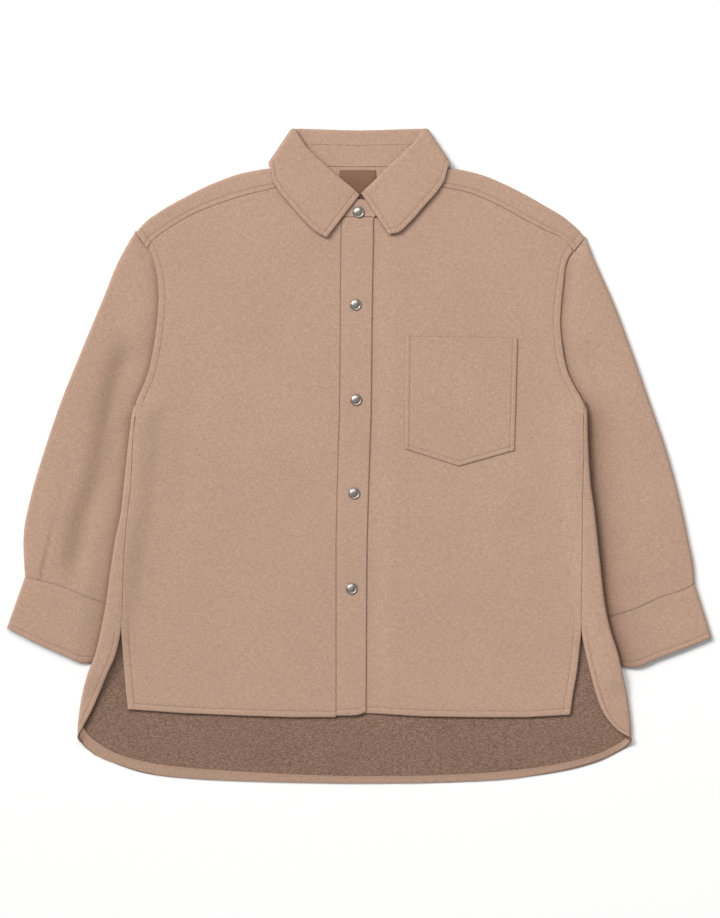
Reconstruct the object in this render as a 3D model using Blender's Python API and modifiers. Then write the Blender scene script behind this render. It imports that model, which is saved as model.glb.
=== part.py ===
"""A wool shirt-jacket laid flat, front up, as separate sewn pieces.

Millimetres in the tables, metres in the scene. X runs to the right seen from above, Y up to the collar,
Z away from the surface the garment lies on. The wearer's right side is at -X.
In the tables of one side, x is counted outward from the middle of the garment.
"""

import math

import bmesh
import bpy
import numpy as np

MM = 0.001

# Cloth and clearances
CLOTH = 1.5
SEAM_GAP = 0.4
CUFF_GAP = 0.6
LAYER_GAP = 0.3
RIGHT = -1
LEFT = 1

# Heights of the outer face of each layer over the surface
FRONT_TOP = 5.6
SIDE_TOP = 7.4
SIDE_RADIUS = SIDE_TOP / 2
SIDE_LIFT = 5.2
SLEEVE_TOP = 7.4
SLEEVE_TUCK_TOP = 4.7
SLEEVE_RADIUS = 4.0
PLACKET_STEP = 0.5
OVERLAP_DIP = 1.6

# Neck: the stand and the leaf are rings pressed flat about a level between back and front
NECK_MID_BACK = 5.4
NECK_MID_FRONT = 3.9
NECK_HALF = 1.1
STAND_OUTER = NECK_HALF + CLOTH
ROLL_RADIUS = 2.15
LEAF_OUTER = NECK_HALF + 2 * ROLL_RADIUS
YOKE_LIFT = NECK_MID_BACK - STAND_OUTER
LEAF_EDGE_TOP = 12.0
LEAF_FALL = 16.0

# Trim
SNAP_RADIUS = 7.0
SNAP_HEIGHT = 2.6
LABEL_THICK = 1.0
HEM_THICK = 1.5
HEM_WIDTH = 10.5
YOKE_BACK_SEAM = 212.4


def table(columns, *rows):
    """A dictionary of arrays, one for each named column."""
    return dict(zip(columns.split(), np.array(rows, float).T))


# Back panel at the wearer's right: silhouette, side seam or slit edge, how far the cloth turns over, row lean
BACK_SIDE_RIGHT = table(
    "y x seam turn lean",
    (212, 243, 243, 0, 0),
    (188, 241, 241, 0, 0),
    (160, 243, 243, 0, 0),
    (126, 248, 248, 0, 0),
    (102, 253, 253, 0, 0),
    (80, 261.5, 261.5, 0, 0),
    (72, 264.9, 264.9, 12, 0),
    (66, 267.6, 267.6, 45, 0),
    (61, 269.6, 269.6, 110, 0),
    (57, 271, 266.2, 180, 0),
    (46, 273.5, 268.6, 180, 0),
    (34, 275, 270.1, 180, 0),
    (7, 278, 272, 180, 0),
    (-30, 282, 273.5, 180, 0),
    (-67, 286, 277.5, 180, 0),
    (-104, 293.5, 281, 180, 0),
    (-141, 299, 283, 180, 0),
    (-177, 304, 284, 180, 0),
    (-207, 309.5, 285.5, 180, 0),
    (-237, 316.5, 291.5, 180, 0),
    (-262, 326, 302, 180, 0),
    (-286, 332.5, 312, 180, 0),
    (-308, 336.3, 322, 180, 0),
    (-324, 338, 330.5, 180, 0),
    (-329, 338.2, 332.6, 165, 0.04),
    (-334, 338, 334, 125, 0.08),
    (-338, 337.2, 337.2, 85, 0.13),
    (-342, 335.4, 335.4, 50, 0.19),
    (-347, 332, 332, 20, 0.26),
    (-353, 325.5, 325.5, 0, 0.35),
    (-359, 318, 318, 0, 0.42),
)
BACK_SIDE_LEFT = table(
    "y x seam turn lean",
    (212, 245.5, 245.5, 0, 0),
    (188, 243, 243, 0, 0),
    (160, 241.2, 241.2, 0, 0),
    (126, 244.2, 244.2, 0, 0),
    (102, 249.5, 249.5, 0, 0),
    (80, 260, 260, 0, 0),
    (72, 264.4, 264.4, 12, 0),
    (66, 267.9, 267.9, 45, 0),
    (61, 270.6, 270.6, 110, 0),
    (57, 272.6, 267.8, 180, 0),
    (46, 273.4, 268.5, 180, 0),
    (34, 273.6, 268.7, 180, 0),
    (7, 274.6, 269, 180, 0),
    (-30, 277, 268, 180, 0),
    (-67, 282, 267.1, 180, 0),
    (-104, 286, 267, 180, 0),
    (-141, 290, 266.5, 180, 0),
    (-177, 294.3, 266, 180, 0),
    (-207, 300.5, 266, 180, 0),
    (-237, 310, 271, 180, 0),
    (-262, 315.5, 277, 180, 0),
    (-286, 321, 283.5, 180, 0),
    (-308, 324, 292, 180, 0),
    (-324, 325.8, 304, 180, 0),
    (-329, 326.2, 310, 180, 0.04),
    (-334, 326.2, 317, 160, 0.1),
    (-338, 325.9, 321, 115, 0.17),
    (-342, 325.2, 325.2, 65, 0.25),
    (-346, 323.2, 323.2, 25, 0.34),
    (-350, 319.5, 319.5, 0, 0.44),
    (-353, 315, 315, 0, 0.54),
)
# Tail: the free bottom edge of the back between the two rounded corners, signed x
TAIL = table(
    "x y",
    (-292, -370),
    (-262, -380),
    (-232, -385),
    (-193, -388),
    (-143, -390),
    (-64, -392),
    (-4, -393),
    (56, -393),
    (145, -390),
    (184, -387),
    (224, -382),
    (264, -374),
    (294, -364),
)

# Side edge of each front: armhole, side seam, then the slit
FRONT_SIDE_RIGHT = table(
    "y x",
    (254, 250),
    (247, 249.6),
    (230, 246),
    (212, 242.4),
    (188, 241),
    (160, 243),
    (126, 248),
    (102, 253),
    (80, 261),
    (72, 263.6),
    (66, 264.8),
    (61, 264.9),
    (57, 265.7),
    (46, 268.3),
    (34, 270.1),
    (7, 272),
    (-30, 273.5),
    (-67, 277.5),
    (-104, 281),
    (-141, 283),
    (-177, 284),
    (-207, 285.5),
    (-237, 283.8),
    (-262, 282),
    (-286, 279.8),
    (-304.5, 278),
)
FRONT_SIDE_LEFT = table(
    "y x",
    (248, 253.5),
    (240, 253),
    (226, 247),
    (212, 245.5),
    (188, 243),
    (160, 241.2),
    (126, 244.2),
    (102, 249.5),
    (80, 259.6),
    (72, 262.8),
    (66, 264.8),
    (61, 265.8),
    (57, 267.2),
    (46, 268.3),
    (34, 268.7),
    (7, 269),
    (-30, 268),
    (-67, 267.1),
    (-104, 267),
    (-141, 266.5),
    (-177, 266),
    (-207, 266),
    (-237, 263.6),
    (-262, 260.6),
    (-286, 256.4),
    (-311, 253),
)
# Front hem, outward from the placket to the slit
HEM_RIGHT = table("x y", (28, -314), (83, -314), (143, -312), (213, -309), (278, -304.5))
HEM_LEFT = table("x y", (-12, -308.5), (26, -310), (75, -313), (145, -314), (200, -314), (253, -311))

# Placket: its seam to the right front and its free edge, signed x
PLACKET = table(
    "y seam edge",
    (285.6, -22, 17),
    (240, -22.4, 16.4),
    (195, -22.8, 15.6),
    (151, -23, 15),
    (100, -23.4, 14.6),
    (52, -24, 14),
    (7, -25.4, 12.5),
    (-39, -26.6, 11),
    (-76, -27.4, 9.9),
    (-113, -28, 9),
    (-160, -28, 8.7),
    (-210, -28, 8.4),
    (-260, -28, 8.2),
    (-312, -28, 8),
)
OVERLAP_EDGE = -12.0

# Yoke: shoulder fold or back neckline, turn over the fold, end of the cut at the front seam or neckline
YOKE_RIGHT = table(
    "x y turn end_x end_y",
    (269, 267, 180, 250, 254.4),
    (257, 280, 180, 237, 266.5),
    (239, 293, 180, 220, 278),
    (211, 309, 180, 196, 291),
    (174, 327, 180, 163, 304),
    (143, 338, 180, 132, 313.4),
    (114, 343.5, 180, 100, 321),
    (92, 345.3, 180, 84, 326),
    (82, 346, 180, 75, 330),
    (80.5, 346.5, 180, 75.3, 337),
    (79.8, 346.8, 180, 77.0, 342.5),
    (78.4, 347, 140, 78.4, 347),
    (77, 347, 60, 77, 347),
    (75.4, 347, 0, 75.4, 347),
    (56, 346.6, 0, 56, 346.6),
    (28, 346.2, 0, 28, 346.2),
)
YOKE_LEFT = table(
    "x y turn end_x end_y",
    (271, 260.5, 180, 253.4, 248.6),
    (264, 269, 180, 240, 259),
    (246, 285, 180, 222, 270.5),
    (218, 302, 180, 200, 282),
    (181, 322, 180, 165, 301),
    (145, 337, 180, 130, 315.4),
    (113, 344, 180, 99, 322),
    (92, 345.3, 180, 84, 326),
    (82, 346, 180, 75, 330),
    (80.5, 346.5, 180, 75.3, 337),
    (79.8, 346.8, 180, 77.0, 342.5),
    (78.4, 347, 140, 78.4, 347),
    (77, 347, 60, 77, 347),
    (75.4, 347, 0, 75.4, 347),
    (56, 346.6, 0, 56, 346.6),
    (28, 346.2, 0, 28, 346.2),
)
NECK_BACK = 346.0
# Front neckline, outward from the placket seam to the end of the front yoke seam
NECKLINE = table("x y", (22, 285.6), (30, 290), (42, 298.6), (54, 309), (65, 320), (75, 329.6))

# Sleeves: armhole seam on the sleeve, outer fold, inner fold, cuff seam
ARMHOLE_RIGHT = table(
    "y x",
    (264.2, 266),
    (258, 255.6),
    (253.6, 250.4),
    (247, 249.8),
    (230, 246.2),
    (212, 242.6),
    (188, 241.2),
    (160, 243.2),
    (126, 248.2),
    (102, 253.2),
    (80, 262),
    (72, 265.6),
    (66, 268.4),
    (61, 270.5),
    (56, 272.2),
)
ARMHOLE_LEFT = table(
    "y x",
    (257.8, 268.4),
    (252.4, 259),
    (248, 253.9),
    (240, 253.3),
    (226, 247.3),
    (212, 245.8),
    (188, 243.3),
    (160, 241.4),
    (126, 244.4),
    (102, 249.7),
    (80, 261),
    (72, 265.2),
    (66, 268.8),
    (61, 271.4),
    (56, 273.6),
)
SLEEVE_OUTER_RIGHT = table(
    "x y",
    (269.6, 266.4),
    (286, 239),
    (310, 182),
    (334, 124),
    (357, 67),
    (377, 9),
    (394, -49),
    (402.5, -92),
    (402.5, -122),
    (401, -145),
)
SLEEVE_OUTER_LEFT = table(
    "x y",
    (271.8, 259.8),
    (280, 239),
    (305, 182),
    (327, 124),
    (347, 67),
    (367, 9),
    (383, -49),
    (394, -100),
    (400, -130),
    (402, -154),
)
SLEEVE_INNER_RIGHT = table(
    "x y",
    (272.2, 56),
    (272, 30),
    (272, 7),
    (275, -30),
    (279, -67),
    (286.5, -104),
    (292, -141),
    (297, -181),
)
SLEEVE_INNER_LEFT = table(
    "x y",
    (273.6, 56),
    (271.6, 30),
    (268.6, 7),
    (270, -25),
    (275, -62),
    (281, -120),
    (286, -165),
    (290, -197),
)
CUFF_SEAM_RIGHT = table(
    "x y",
    (401, -145),
    (382, -150),
    (362, -155),
    (342, -163),
    (322, -171),
    (307, -177),
    (297, -181),
)
CUFF_SEAM_LEFT = table(
    "x y",
    (402, -154),
    (383, -163),
    (363, -169),
    (344, -178),
    (324, -186),
    (308, -191),
    (290, -197),
)
CUFF_END_RIGHT = table(
    "x y",
    (423, -207),
    (392, -223),
    (352, -241),
    (333, -248.8),
    (322, -248.4),
    (311, -243),
)
CUFF_END_LEFT = table(
    "x y",
    (422.4, -218),
    (396, -229),
    (358, -243.4),
    (326, -254.6),
    (316, -253.2),
    (305.5, -247),
)
# The soft trough down the upper face of the right sleeve, and its depth
TROUGH_RIGHT = table("y x", (126, 290), (71, 305), (16, 314), (-30, 323), (-76, 340), (-130, 350))
TROUGH_DEPTH = 1.0
TROUGH_WIDTH = 15.0

# Patch pocket, signed x: five corners
POCKET_TOP = table("x y", (55, 143), (190, 141))
POCKET_BOTTOM = table("x y", (54, 8), (86.5, -2.5), (119, -13), (152.5, -3.5), (186, 6))

# Collar in front: roll line and outer edge of the leaf, outward from the middle
COLLAR_RIGHT = table(
    "roll_x roll_y edge_x edge_y",
    (1, 314, 39, 261),
    (7, 320, 50, 266.5),
    (20, 331, 66, 281),
    (35, 343.6, 81, 298),
    (50, 357, 94, 313),
    (64, 371, 104, 327.5),
)
COLLAR_LEFT = table(
    "roll_x roll_y edge_x edge_y",
    (3, 316, 35, 265),
    (9, 321.4, 46, 266.8),
    (20, 332, 62, 280.5),
    (35, 347, 79, 300),
    (50, 361, 92, 314.5),
    (64, 374, 102, 328.5),
)
# Collar corner: roll and outer edge where the leaf turns to the back, and the hidden back fall
COLLAR_CORNER = table("roll_x roll_y edge_x edge_y", (82, 393, 114, 347))
COLLAR_BACK = table(
    "roll_x roll_y edge_x edge_y",
    (66, 392, 88, 342),
    (42, 391.2, 50, 338),
    (20, 390.4, 24, 337.4),
)
COLLAR_MIDDLE = table("roll_x roll_y edge_x edge_y", (0, 390, 0, 337))
# Stand: its neckline edge, outward from the middle
STAND_FRONT_RIGHT = table(
    "x y",
    (21.6, 286),
    (28.6, 290.2),
    (39.6, 298),
    (50.8, 307.6),
    (60.8, 317.4),
    (69.6, 328),
)
STAND_FRONT_LEFT = table(
    "x y",
    (21, 287),
    (29.2, 290.8),
    (39.6, 298),
    (50.8, 307.6),
    (60.8, 317.4),
    (69.6, 328),
)
STAND_CORNER = (75.2, 347.4)
STAND_BACK = table("x y", (66, 347.4), (42, 346.9), (20, 346.6))
STAND_END = table("x low high", (-16.6, 286, 305.4), (-6, 286, 306.6))

LABEL = (-24.0, 19.5, 318.0, 342.0)

# Snap centres, signed x, from the stand down
SNAPS = table("x y", (-1.3, 291.7), (-4.7, 180.8), (-4.2, 66.7), (-6.6, -45.4), (-9.5, -159.5))

# Grid of each piece
TURN_STEPS = 4
TOP_STEPS = 2
BACK_STEPS = 11
YOKE_STEPS = 3
TUBE_ACROSS = (0.1, 0.3, 0.52, 0.76, 1.0)
CUFF_RINGS = 3
ROLL_STEPS = 4
LEAF_STEPS = 4
CORNER_STEPS = 4


def smooth(value, low, high):
    """Smooth step from 0 at low to 1 at high, either way round."""
    t = np.clip((np.asarray(value, float) - low) / (high - low), 0.0, 1.0)
    return t * t * (3.0 - 2.0 * t)


def points(columns, x="x", y="y"):
    return np.column_stack((columns[x], columns[y]))


def along(curve, where):
    """A smooth curve through the points, read at fractions of its length."""
    curve = np.asarray(curve, float)
    reach = np.concatenate(([0.0], np.cumsum(np.linalg.norm(np.diff(curve, axis=0), axis=1))))
    place = np.clip(np.asarray(where, float), 0.0, 1.0) * reach[-1]
    step = np.clip(np.searchsorted(reach, place, side="right") - 1, 0, len(curve) - 2)
    slope = np.gradient(curve, reach, axis=0)
    width = reach[step + 1] - reach[step]
    t = ((place - reach[step]) / width)[:, None]
    width = width[:, None]
    return (
        (2 * t**3 - 3 * t**2 + 1) * curve[step]
        + (t**3 - 2 * t**2 + t) * width * slope[step]
        + (3 * t**2 - 2 * t**3) * curve[step + 1]
        + (t**3 - t**2) * width * slope[step + 1]
    )


def fractions(curve):
    """The fraction of its length at which each point of a curve lies."""
    reach = np.concatenate(([0.0], np.cumsum(np.linalg.norm(np.diff(curve, axis=0), axis=1))))
    return reach / reach[-1]


def patch(top, bottom, first, last, across, down):
    """A patch between four edges: top and bottom run across, first and last run down."""
    u = np.asarray(across)[None, :, None]
    v = np.asarray(down)[:, None, None]
    corners = (
        (1 - u) * (1 - v) * top[0]
        + u * (1 - v) * top[-1]
        + (1 - u) * v * bottom[0]
        + u * v * bottom[-1]
    )
    return (1 - v) * top + v * bottom + (1 - u) * first[:, None] + u * last[:, None] - corners


def side_lift(x, y):
    """How far the body's sides are held up by the sleeves that lie under them."""
    x = np.asarray(x, float)
    y = np.asarray(y, float)
    result = np.zeros(np.broadcast(x, y).shape)
    for side, rows in ((RIGHT, BACK_SIDE_RIGHT), (LEFT, BACK_SIDE_LEFT)):
        fold = np.interp(-y, -rows["y"], rows["x"])
        inside = fold - side * x
        span = smooth(y, 78, 46) * smooth(y, -292, -262)
        result = result + SIDE_LIFT * span * (1 - smooth(inside, 12, 42)) * (inside < 60)
    return result


def neck_mid(y):
    return NECK_MID_FRONT + (NECK_MID_BACK - NECK_MID_FRONT) * smooth(y, 305, 330)


def front_height(x, y):
    """Outer face of the fronts and of the yoke's front flaps."""
    x = np.asarray(x, float)
    y = np.asarray(y, float)
    neck = (1 - smooth(np.abs(x), 90, 165)) * smooth(y, 235, 282)
    height = FRONT_TOP + (neck_mid(y) + STAND_OUTER - FRONT_TOP) * neck
    for side, rows in ((RIGHT, BACK_SIDE_RIGHT), (LEFT, BACK_SIDE_LEFT)):
        fold = np.interp(-y, -rows["y"], rows["x"])
        inside = fold - side * x
        rise = (1 - smooth(inside, 24, 80)) * smooth(y, 92, 56) * (inside < 90)
        height = height + (SIDE_TOP - FRONT_TOP) * rise
    return height + side_lift(x, y)


def overlap_height(x, y):
    """The left front dips under the placket."""
    return front_height(x, y) - OVERLAP_DIP * (1 - smooth(x, 18.2, 42.0))


def placket_height(x, y):
    seam = np.interp(-np.asarray(y, float), -PLACKET["y"], PLACKET["seam"])
    return front_height(x, y) + PLACKET_STEP * smooth(x - seam, 0.0, 10.0)


def yoke_rest(x, y):
    """Height of the yoke's back over the surface: it lies on the collar's fall near the neck."""
    return YOKE_LIFT * (1 - smooth(np.abs(x), 96, 150)) * smooth(y, 300, 336)


def turned_edge(edge, outward, turn, wrap, radius, rest, tight=False):
    """Rows of points from the flat of a sheet out to its edge, where the cloth turns over by an angle.

    Returns the plan points and heights of each row, the flat's last point first.
    """
    plan = []
    rise = []
    for point, way, angle, back, bend, floor in zip(edge, outward, np.radians(turn), wrap, radius, rest):
        steps = np.linspace(0.0, 1.0, TURN_STEPS + 1)
        length = bend * (max(angle, 0.9) if tight else math.pi)
        if angle > 0.02:
            round_radius = min(length / angle, 2 * bend / (1 - math.cos(angle)))
            out = round_radius * np.sin(angle * steps)
            up = round_radius * (1 - np.cos(angle * steps))
        else:
            out = length * steps
            up = 0.0 * steps
        rest_length = max(back - bend, 1.0)
        tail = rest_length * np.arange(1, TOP_STEPS + 1) / TOP_STEPS
        out = np.concatenate((out, out[-1] + tail * math.cos(angle)))
        up = np.concatenate((up, up[-1] + tail * math.sin(angle)))
        base = point - way * out.max()
        plan.append(base + np.outer(out, way))
        rise.append(floor + up)
    return np.array(plan), np.array(rise)


def solid(name, grid, material, thickness=CLOTH, weld=False, flip=False):
    """An open sheet lofted through a grid of points in mm, made solid inward by Solidify."""
    grid = np.asarray(grid, float)
    rows, columns = grid.shape[:2]
    mesh = bpy.data.meshes.new(name)
    sheet = bmesh.new()
    verts = [[sheet.verts.new(point * MM) for point in row] for row in grid]
    for row in range(rows - 1):
        for column in range(columns - 1):
            corners = (
                verts[row][column],
                verts[row][column + 1],
                verts[row + 1][column + 1],
                verts[row + 1][column],
            )
            sheet.faces.new(reversed(corners) if flip else corners)
    if weld:
        bmesh.ops.remove_doubles(sheet, verts=sheet.verts, dist=0.00002)
    sheet.to_mesh(mesh)
    sheet.free()
    mesh.shade_smooth()
    piece = bpy.data.objects.new(name, mesh)
    piece.data.materials.append(material)
    collection.objects.link(piece)
    wall = piece.modifiers.new("Cloth", "SOLIDIFY")
    wall.thickness = thickness * MM
    wall.offset = -1.0
    wall.use_even_offset = True
    wall.use_quality_normals = True
    return piece


def cloth(name, color, roughness=0.95, metallic=0.0):
    material = bpy.data.materials.new(name)
    material.use_nodes = True
    shader = material.node_tree.nodes["Principled BSDF"]
    shader.inputs["Base Color"].default_value = (*color, 1.0)
    shader.inputs["Roughness"].default_value = roughness
    shader.inputs["Metallic"].default_value = metallic
    return material


def raised(plan, height):
    return np.dstack((plan[..., 0], plan[..., 1], height))


# The scene
for item in list(bpy.data.objects):
    bpy.data.objects.remove(item)
collection = bpy.data.collections.new("shacket")
bpy.context.scene.collection.children.link(collection)

camel = (0.50, 0.34, 0.25)
wool = {
    name: cloth(name + " wool", camel)
    for name in (
        "back",
        "yoke",
        "front_right",
        "front_left",
        "placket",
        "pocket",
        "collar_stand",
        "collar_leaf",
        "sleeve_right",
        "sleeve_left",
        "cuff_right",
        "cuff_left",
        "back_hem",
    )
}
brown = cloth("neck_label weave", (0.26, 0.14, 0.09), 0.8)


# Back panel
def back_side(rows, side):
    edge = np.column_stack((side * rows["x"], rows["y"]))
    lean = rows["lean"]
    way = np.column_stack((np.full(len(lean), float(side)), lean))
    way = way / np.linalg.norm(way, axis=1)[:, None]
    radius = np.full(len(lean), SIDE_RADIUS)
    wrap = rows["x"] - rows["seam"]
    return turned_edge(edge, way, rows["turn"], wrap, radius, np.zeros(len(lean)))


right_plan, right_rise = back_side(BACK_SIDE_RIGHT, RIGHT)
left_plan, left_rise = back_side(BACK_SIDE_LEFT, LEFT)
across = np.linspace(0.0, 1.0, BACK_STEPS + 1)
down = (BACK_SIDE_RIGHT["y"][0] - BACK_SIDE_RIGHT["y"]) / np.ptp(BACK_SIDE_RIGHT["y"])
first = right_plan[:, 0]
last = left_plan[:, 0]
tail_curve = np.vstack((first[-1:], points(TAIL), last[-1:]))
tail = along(tail_curve, across)
top = first[0] + np.outer(across, last[0] - first[0])
flat = patch(top, tail, first, last, across, down)
plan = np.concatenate((right_plan[:, :0:-1], flat, left_plan[:, 1:]), axis=1)
rise = np.concatenate((right_rise[:, :0:-1], np.zeros(flat.shape[:2]), left_rise[:, 1:]), axis=1)
rise = rise + side_lift(plan[..., 0], plan[..., 1])
solid("back", raised(plan, rise), wool["back"])


# Fronts: each runs from its side edge in to the placket, and the left one on under it
def front_panel(name, side, side_rows, hem, height):
    edge = np.column_stack((side_rows["x"] - SEAM_GAP, side_rows["y"]))
    down = (side_rows["y"][0] - side_rows["y"]) / np.ptp(side_rows["y"])
    yoke_rows = YOKE_RIGHT if side == RIGHT else YOKE_LEFT
    seam = np.column_stack((yoke_rows["end_x"], yoke_rows["end_y"] - SEAM_GAP - 0.1))[1:9]
    neckline = points(NECKLINE)[::-1][1:]
    if side == RIGHT:
        inner_y = neckline[-1][1] + (hem["y"][0] - neckline[-1][1]) * down
        inner_x = SEAM_GAP - np.interp(-inner_y, -PLACKET["y"], PLACKET["seam"])
        neckline[-1][0] = inner_x[0]
    else:
        neckline = np.vstack((neckline[:-1], ((18.0, 285.0), (OVERLAP_EDGE, 284.6))))
        inner_y = neckline[-1][1] + (hem["y"][0] - neckline[-1][1]) * down
        inner_x = np.full(len(down), OVERLAP_EDGE)
    upper = np.vstack((edge[:1], seam, neckline))
    across = (upper[0, 0] - upper[:, 0]) / (upper[0, 0] - upper[-1, 0])
    lower_x = edge[-1, 0] + (inner_x[-1] - edge[-1, 0]) * across
    lower = np.column_stack((lower_x, np.interp(lower_x, hem["x"], hem["y"])))
    plan = patch(upper, lower, edge, np.column_stack((inner_x, inner_y)), across, down)
    plan = plan * (side, 1)
    return solid(name, raised(plan, height(plan[..., 0], plan[..., 1])), wool[name], flip=side == RIGHT)


front_panel("front_right", RIGHT, FRONT_SIDE_RIGHT, HEM_RIGHT, front_height)
front_panel("front_left", LEFT, FRONT_SIDE_LEFT, HEM_LEFT, overlap_height)

# Placket
seam_edge = points(PLACKET, "seam")
free_edge = points(PLACKET, "edge")
across = np.array([0.0, 0.13, 0.28, 0.64, 1.0])[None, :, None]
plan = seam_edge[:, None] * (1 - across) + free_edge[:, None] * across
plan[-1, -1, 1] += 5.0
solid("placket", raised(plan, placket_height(plan[..., 0], plan[..., 1])), wool["placket"], flip=True)

# Patch pocket, on the left front
upper = points(POCKET_TOP)
lower = points(POCKET_BOTTOM)
across = np.linspace(0.0, 1.0, 5)
upper = upper[0] + np.outer(across, upper[1] - upper[0])
down = np.linspace(0.0, 1.0, 5)[:, None, None]
plan = upper[None] * (1 - down) + lower[None] * down
rise = overlap_height(plan[..., 0], plan[..., 1]) + LAYER_GAP + CLOTH
solid("pocket", raised(plan, rise), wool["pocket"], flip=True)


# Yoke: from the hidden back seam up over both shoulders to the front yoke seams
def yoke_columns(rows, side):
    edge = np.column_stack((side * rows["x"], rows["y"]))
    end = np.column_stack((side * rows["end_x"], rows["end_y"]))
    return edge, end, rows["turn"]


right_edge, right_end, right_turn = yoke_columns(YOKE_RIGHT, RIGHT)
left_edge, left_end, left_turn = yoke_columns(YOKE_LEFT, LEFT)
middle = np.array([[0.0, NECK_BACK]])
edge = np.vstack((right_edge, middle, left_edge[::-1]))
end = np.vstack((right_end, middle, left_end[::-1]))
turn = np.concatenate((right_turn, (0.0,), left_turn[::-1]))
run = np.gradient(edge, axis=0)
way = np.column_stack((-run[:, 1], run[:, 0]))
way = way / np.linalg.norm(way, axis=1)[:, None]
way[np.abs(edge[:, 0]) < 84] = (0.0, 1.0)
rest = yoke_rest(edge[:, 0], edge[:, 1])
bend = (front_height(edge[:, 0], edge[:, 1]) - rest) / 2
plan, rise = turned_edge(edge, way, turn, np.zeros(len(edge)), bend, rest, tight=True)
over = turn > 179
flap = np.arange(1, TOP_STEPS + 1)[None, :, None] / TOP_STEPS
start = plan[over, TURN_STEPS][:, None]
plan[over, TURN_STEPS + 1 :] = start + (end[over][:, None] - start) * flap
rise[over, TURN_STEPS + 1 :] = front_height(
    plan[over, TURN_STEPS + 1 :, 0], plan[over, TURN_STEPS + 1 :, 1]
)
low = np.column_stack((edge[:, 0] * 243.0 / 269.0, np.full(len(edge), YOKE_BACK_SEAM)))
up = np.linspace(0.0, 1.0, YOKE_STEPS + 1)[:-1][None, :, None]
below = low[:, None] + (plan[:, :1] - low[:, None]) * up
plan = np.concatenate((below, plan), axis=1)
rise = np.concatenate((yoke_rest(below[..., 0], below[..., 1]), rise), axis=1)
solid("yoke", raised(plan, rise), wool["yoke"])


# Sleeves and cuffs: tubes pressed flat, in rows from the inner side out to the outer fold and back below
def pressed_tube(upper_inner, lower_inner, outer, joined, bow, top_height):
    """Rows of points: above from the inner side to the outer fold, then back below to the inner side."""
    grid = []
    last = len(outer) - 1
    for index, (upper, lower, fold, meets) in enumerate(zip(upper_inner, lower_inner, outer, joined)):
        row = []
        for inner, sign in ((upper, 1), (lower, -1)):
            length = np.linalg.norm(fold - inner)
            near = 0.293 * min(SLEEVE_TUCK_TOP / 2, 0.3 * length) / length
            far = 0.293 * min(SLEEVE_RADIUS, 0.4 * length) / length
            inside = np.array(TUBE_ACROSS) * (1 - far / 0.293)
            where = np.concatenate(((0.0, min(near, 0.5 * inside[0])), inside, (1 - far, 1.0)))
            share = np.ones(len(where))
            share[-2:] = (0.707, 0.0)
            if meets:
                share[:2] = (0.0, 0.707)
            plan = inner + np.outer(where, fold - inner) + bow(index / last, where)
            high = top_height(plan, where * length)
            row.append(np.column_stack((plan, high / 2 * (1 + sign * share))))
        grid.append(np.vstack((row[0], row[1][-2::-1])))
    return np.array(grid)


def offset(curve, distance):
    """A plan curve moved square to itself, to the left of its run."""
    run = np.gradient(curve, axis=0)
    run = run / np.linalg.norm(run, axis=1)[:, None]
    return curve + distance * np.column_stack((-run[:, 1], run[:, 0]))


def bulge(curve):
    """How far a curve, read backward, bows from the straight line between its ends."""
    back = np.asarray(curve)[::-1]

    def at(where):
        return along(back, where) - (back[0] + np.outer(where, back[-1] - back[0]))

    return at


def sleeve_height(plan, inside):
    """Outer face of a sleeve's upper layer: low where it lies under the body, full farther out."""
    under = smooth(plan[:, 1], 60, 15)
    low = -6.0 + 15.5 * under
    return SLEEVE_TUCK_TOP + (SLEEVE_TOP - SLEEVE_TUCK_TOP) * smooth(inside, low, low + 28.0)


def sleeve(name, side, armhole, outer, inner, cuff_seam):
    edge = points(armhole)
    upper_arm = offset(edge, 0.4)
    lower_arm = edge.copy()
    high = edge[:, 1] > 212
    lower_arm[high, 0] = np.interp(-edge[high, 1], -edge[[0, 5], 1], edge[[0, 5], 0])
    lower_arm = offset(lower_arm, 1.2)
    lower_arm[-1] = upper_arm[-1]
    fold_rows = points(inner)[1:]
    upper_inner = np.vstack((upper_arm, fold_rows))
    lower_inner = np.vstack((lower_arm, fold_rows))
    joined = np.arange(len(upper_inner)) >= len(edge) - 1
    run = fractions(upper_inner)
    outer_rows = along(points(outer), 0.016 + 0.984 * run)
    end_bow = bulge(points(cuff_seam))

    def bow(index_share, where):
        row = int(round(index_share * (len(run) - 1)))
        return end_bow(where) * smooth(run[row], 0.7, 1.0)

    def top_height(plan, inside):
        high = sleeve_height(plan, inside)
        if side == RIGHT:
            middle = np.interp(-plan[:, 1], -TROUGH_RIGHT["y"], TROUGH_RIGHT["x"])
            away = (plan[:, 0] - middle) / TROUGH_WIDTH
            reach = smooth(plan[:, 1], 150, 110) * smooth(plan[:, 1], -150, -100)
            high = high - TROUGH_DEPTH * np.exp(-(away**2)) * reach
        return high

    grid = pressed_tube(upper_inner, lower_inner, outer_rows, joined, bow, top_height)
    grid[..., 0] *= side
    return solid(name, grid, wool[name], weld=True, flip=side == LEFT)


def cuff(name, side, cuff_seam, cuff_end):
    start = points(cuff_seam)
    finish = points(cuff_end)
    way = finish[0] - start[0]
    start = start + CUFF_GAP * way / np.linalg.norm(way)
    down = np.linspace(0.0, 1.0, CUFF_RINGS + 1)[:, None]
    outer = start[0] + (finish[0] - start[0]) * down
    inner = start[-1] + (finish[-1] - start[-1]) * down
    start_bow = bulge(start)
    end_bow = bulge(finish)

    def bow(share, where):
        return start_bow(where) * (1 - share) ** 2 + end_bow(where) * share**2

    grid = pressed_tube(inner, inner, outer, [True] * len(down), bow, sleeve_height)
    grid[..., 0] *= side
    return solid(name, grid, wool[name], weld=True, flip=side == LEFT)


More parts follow.
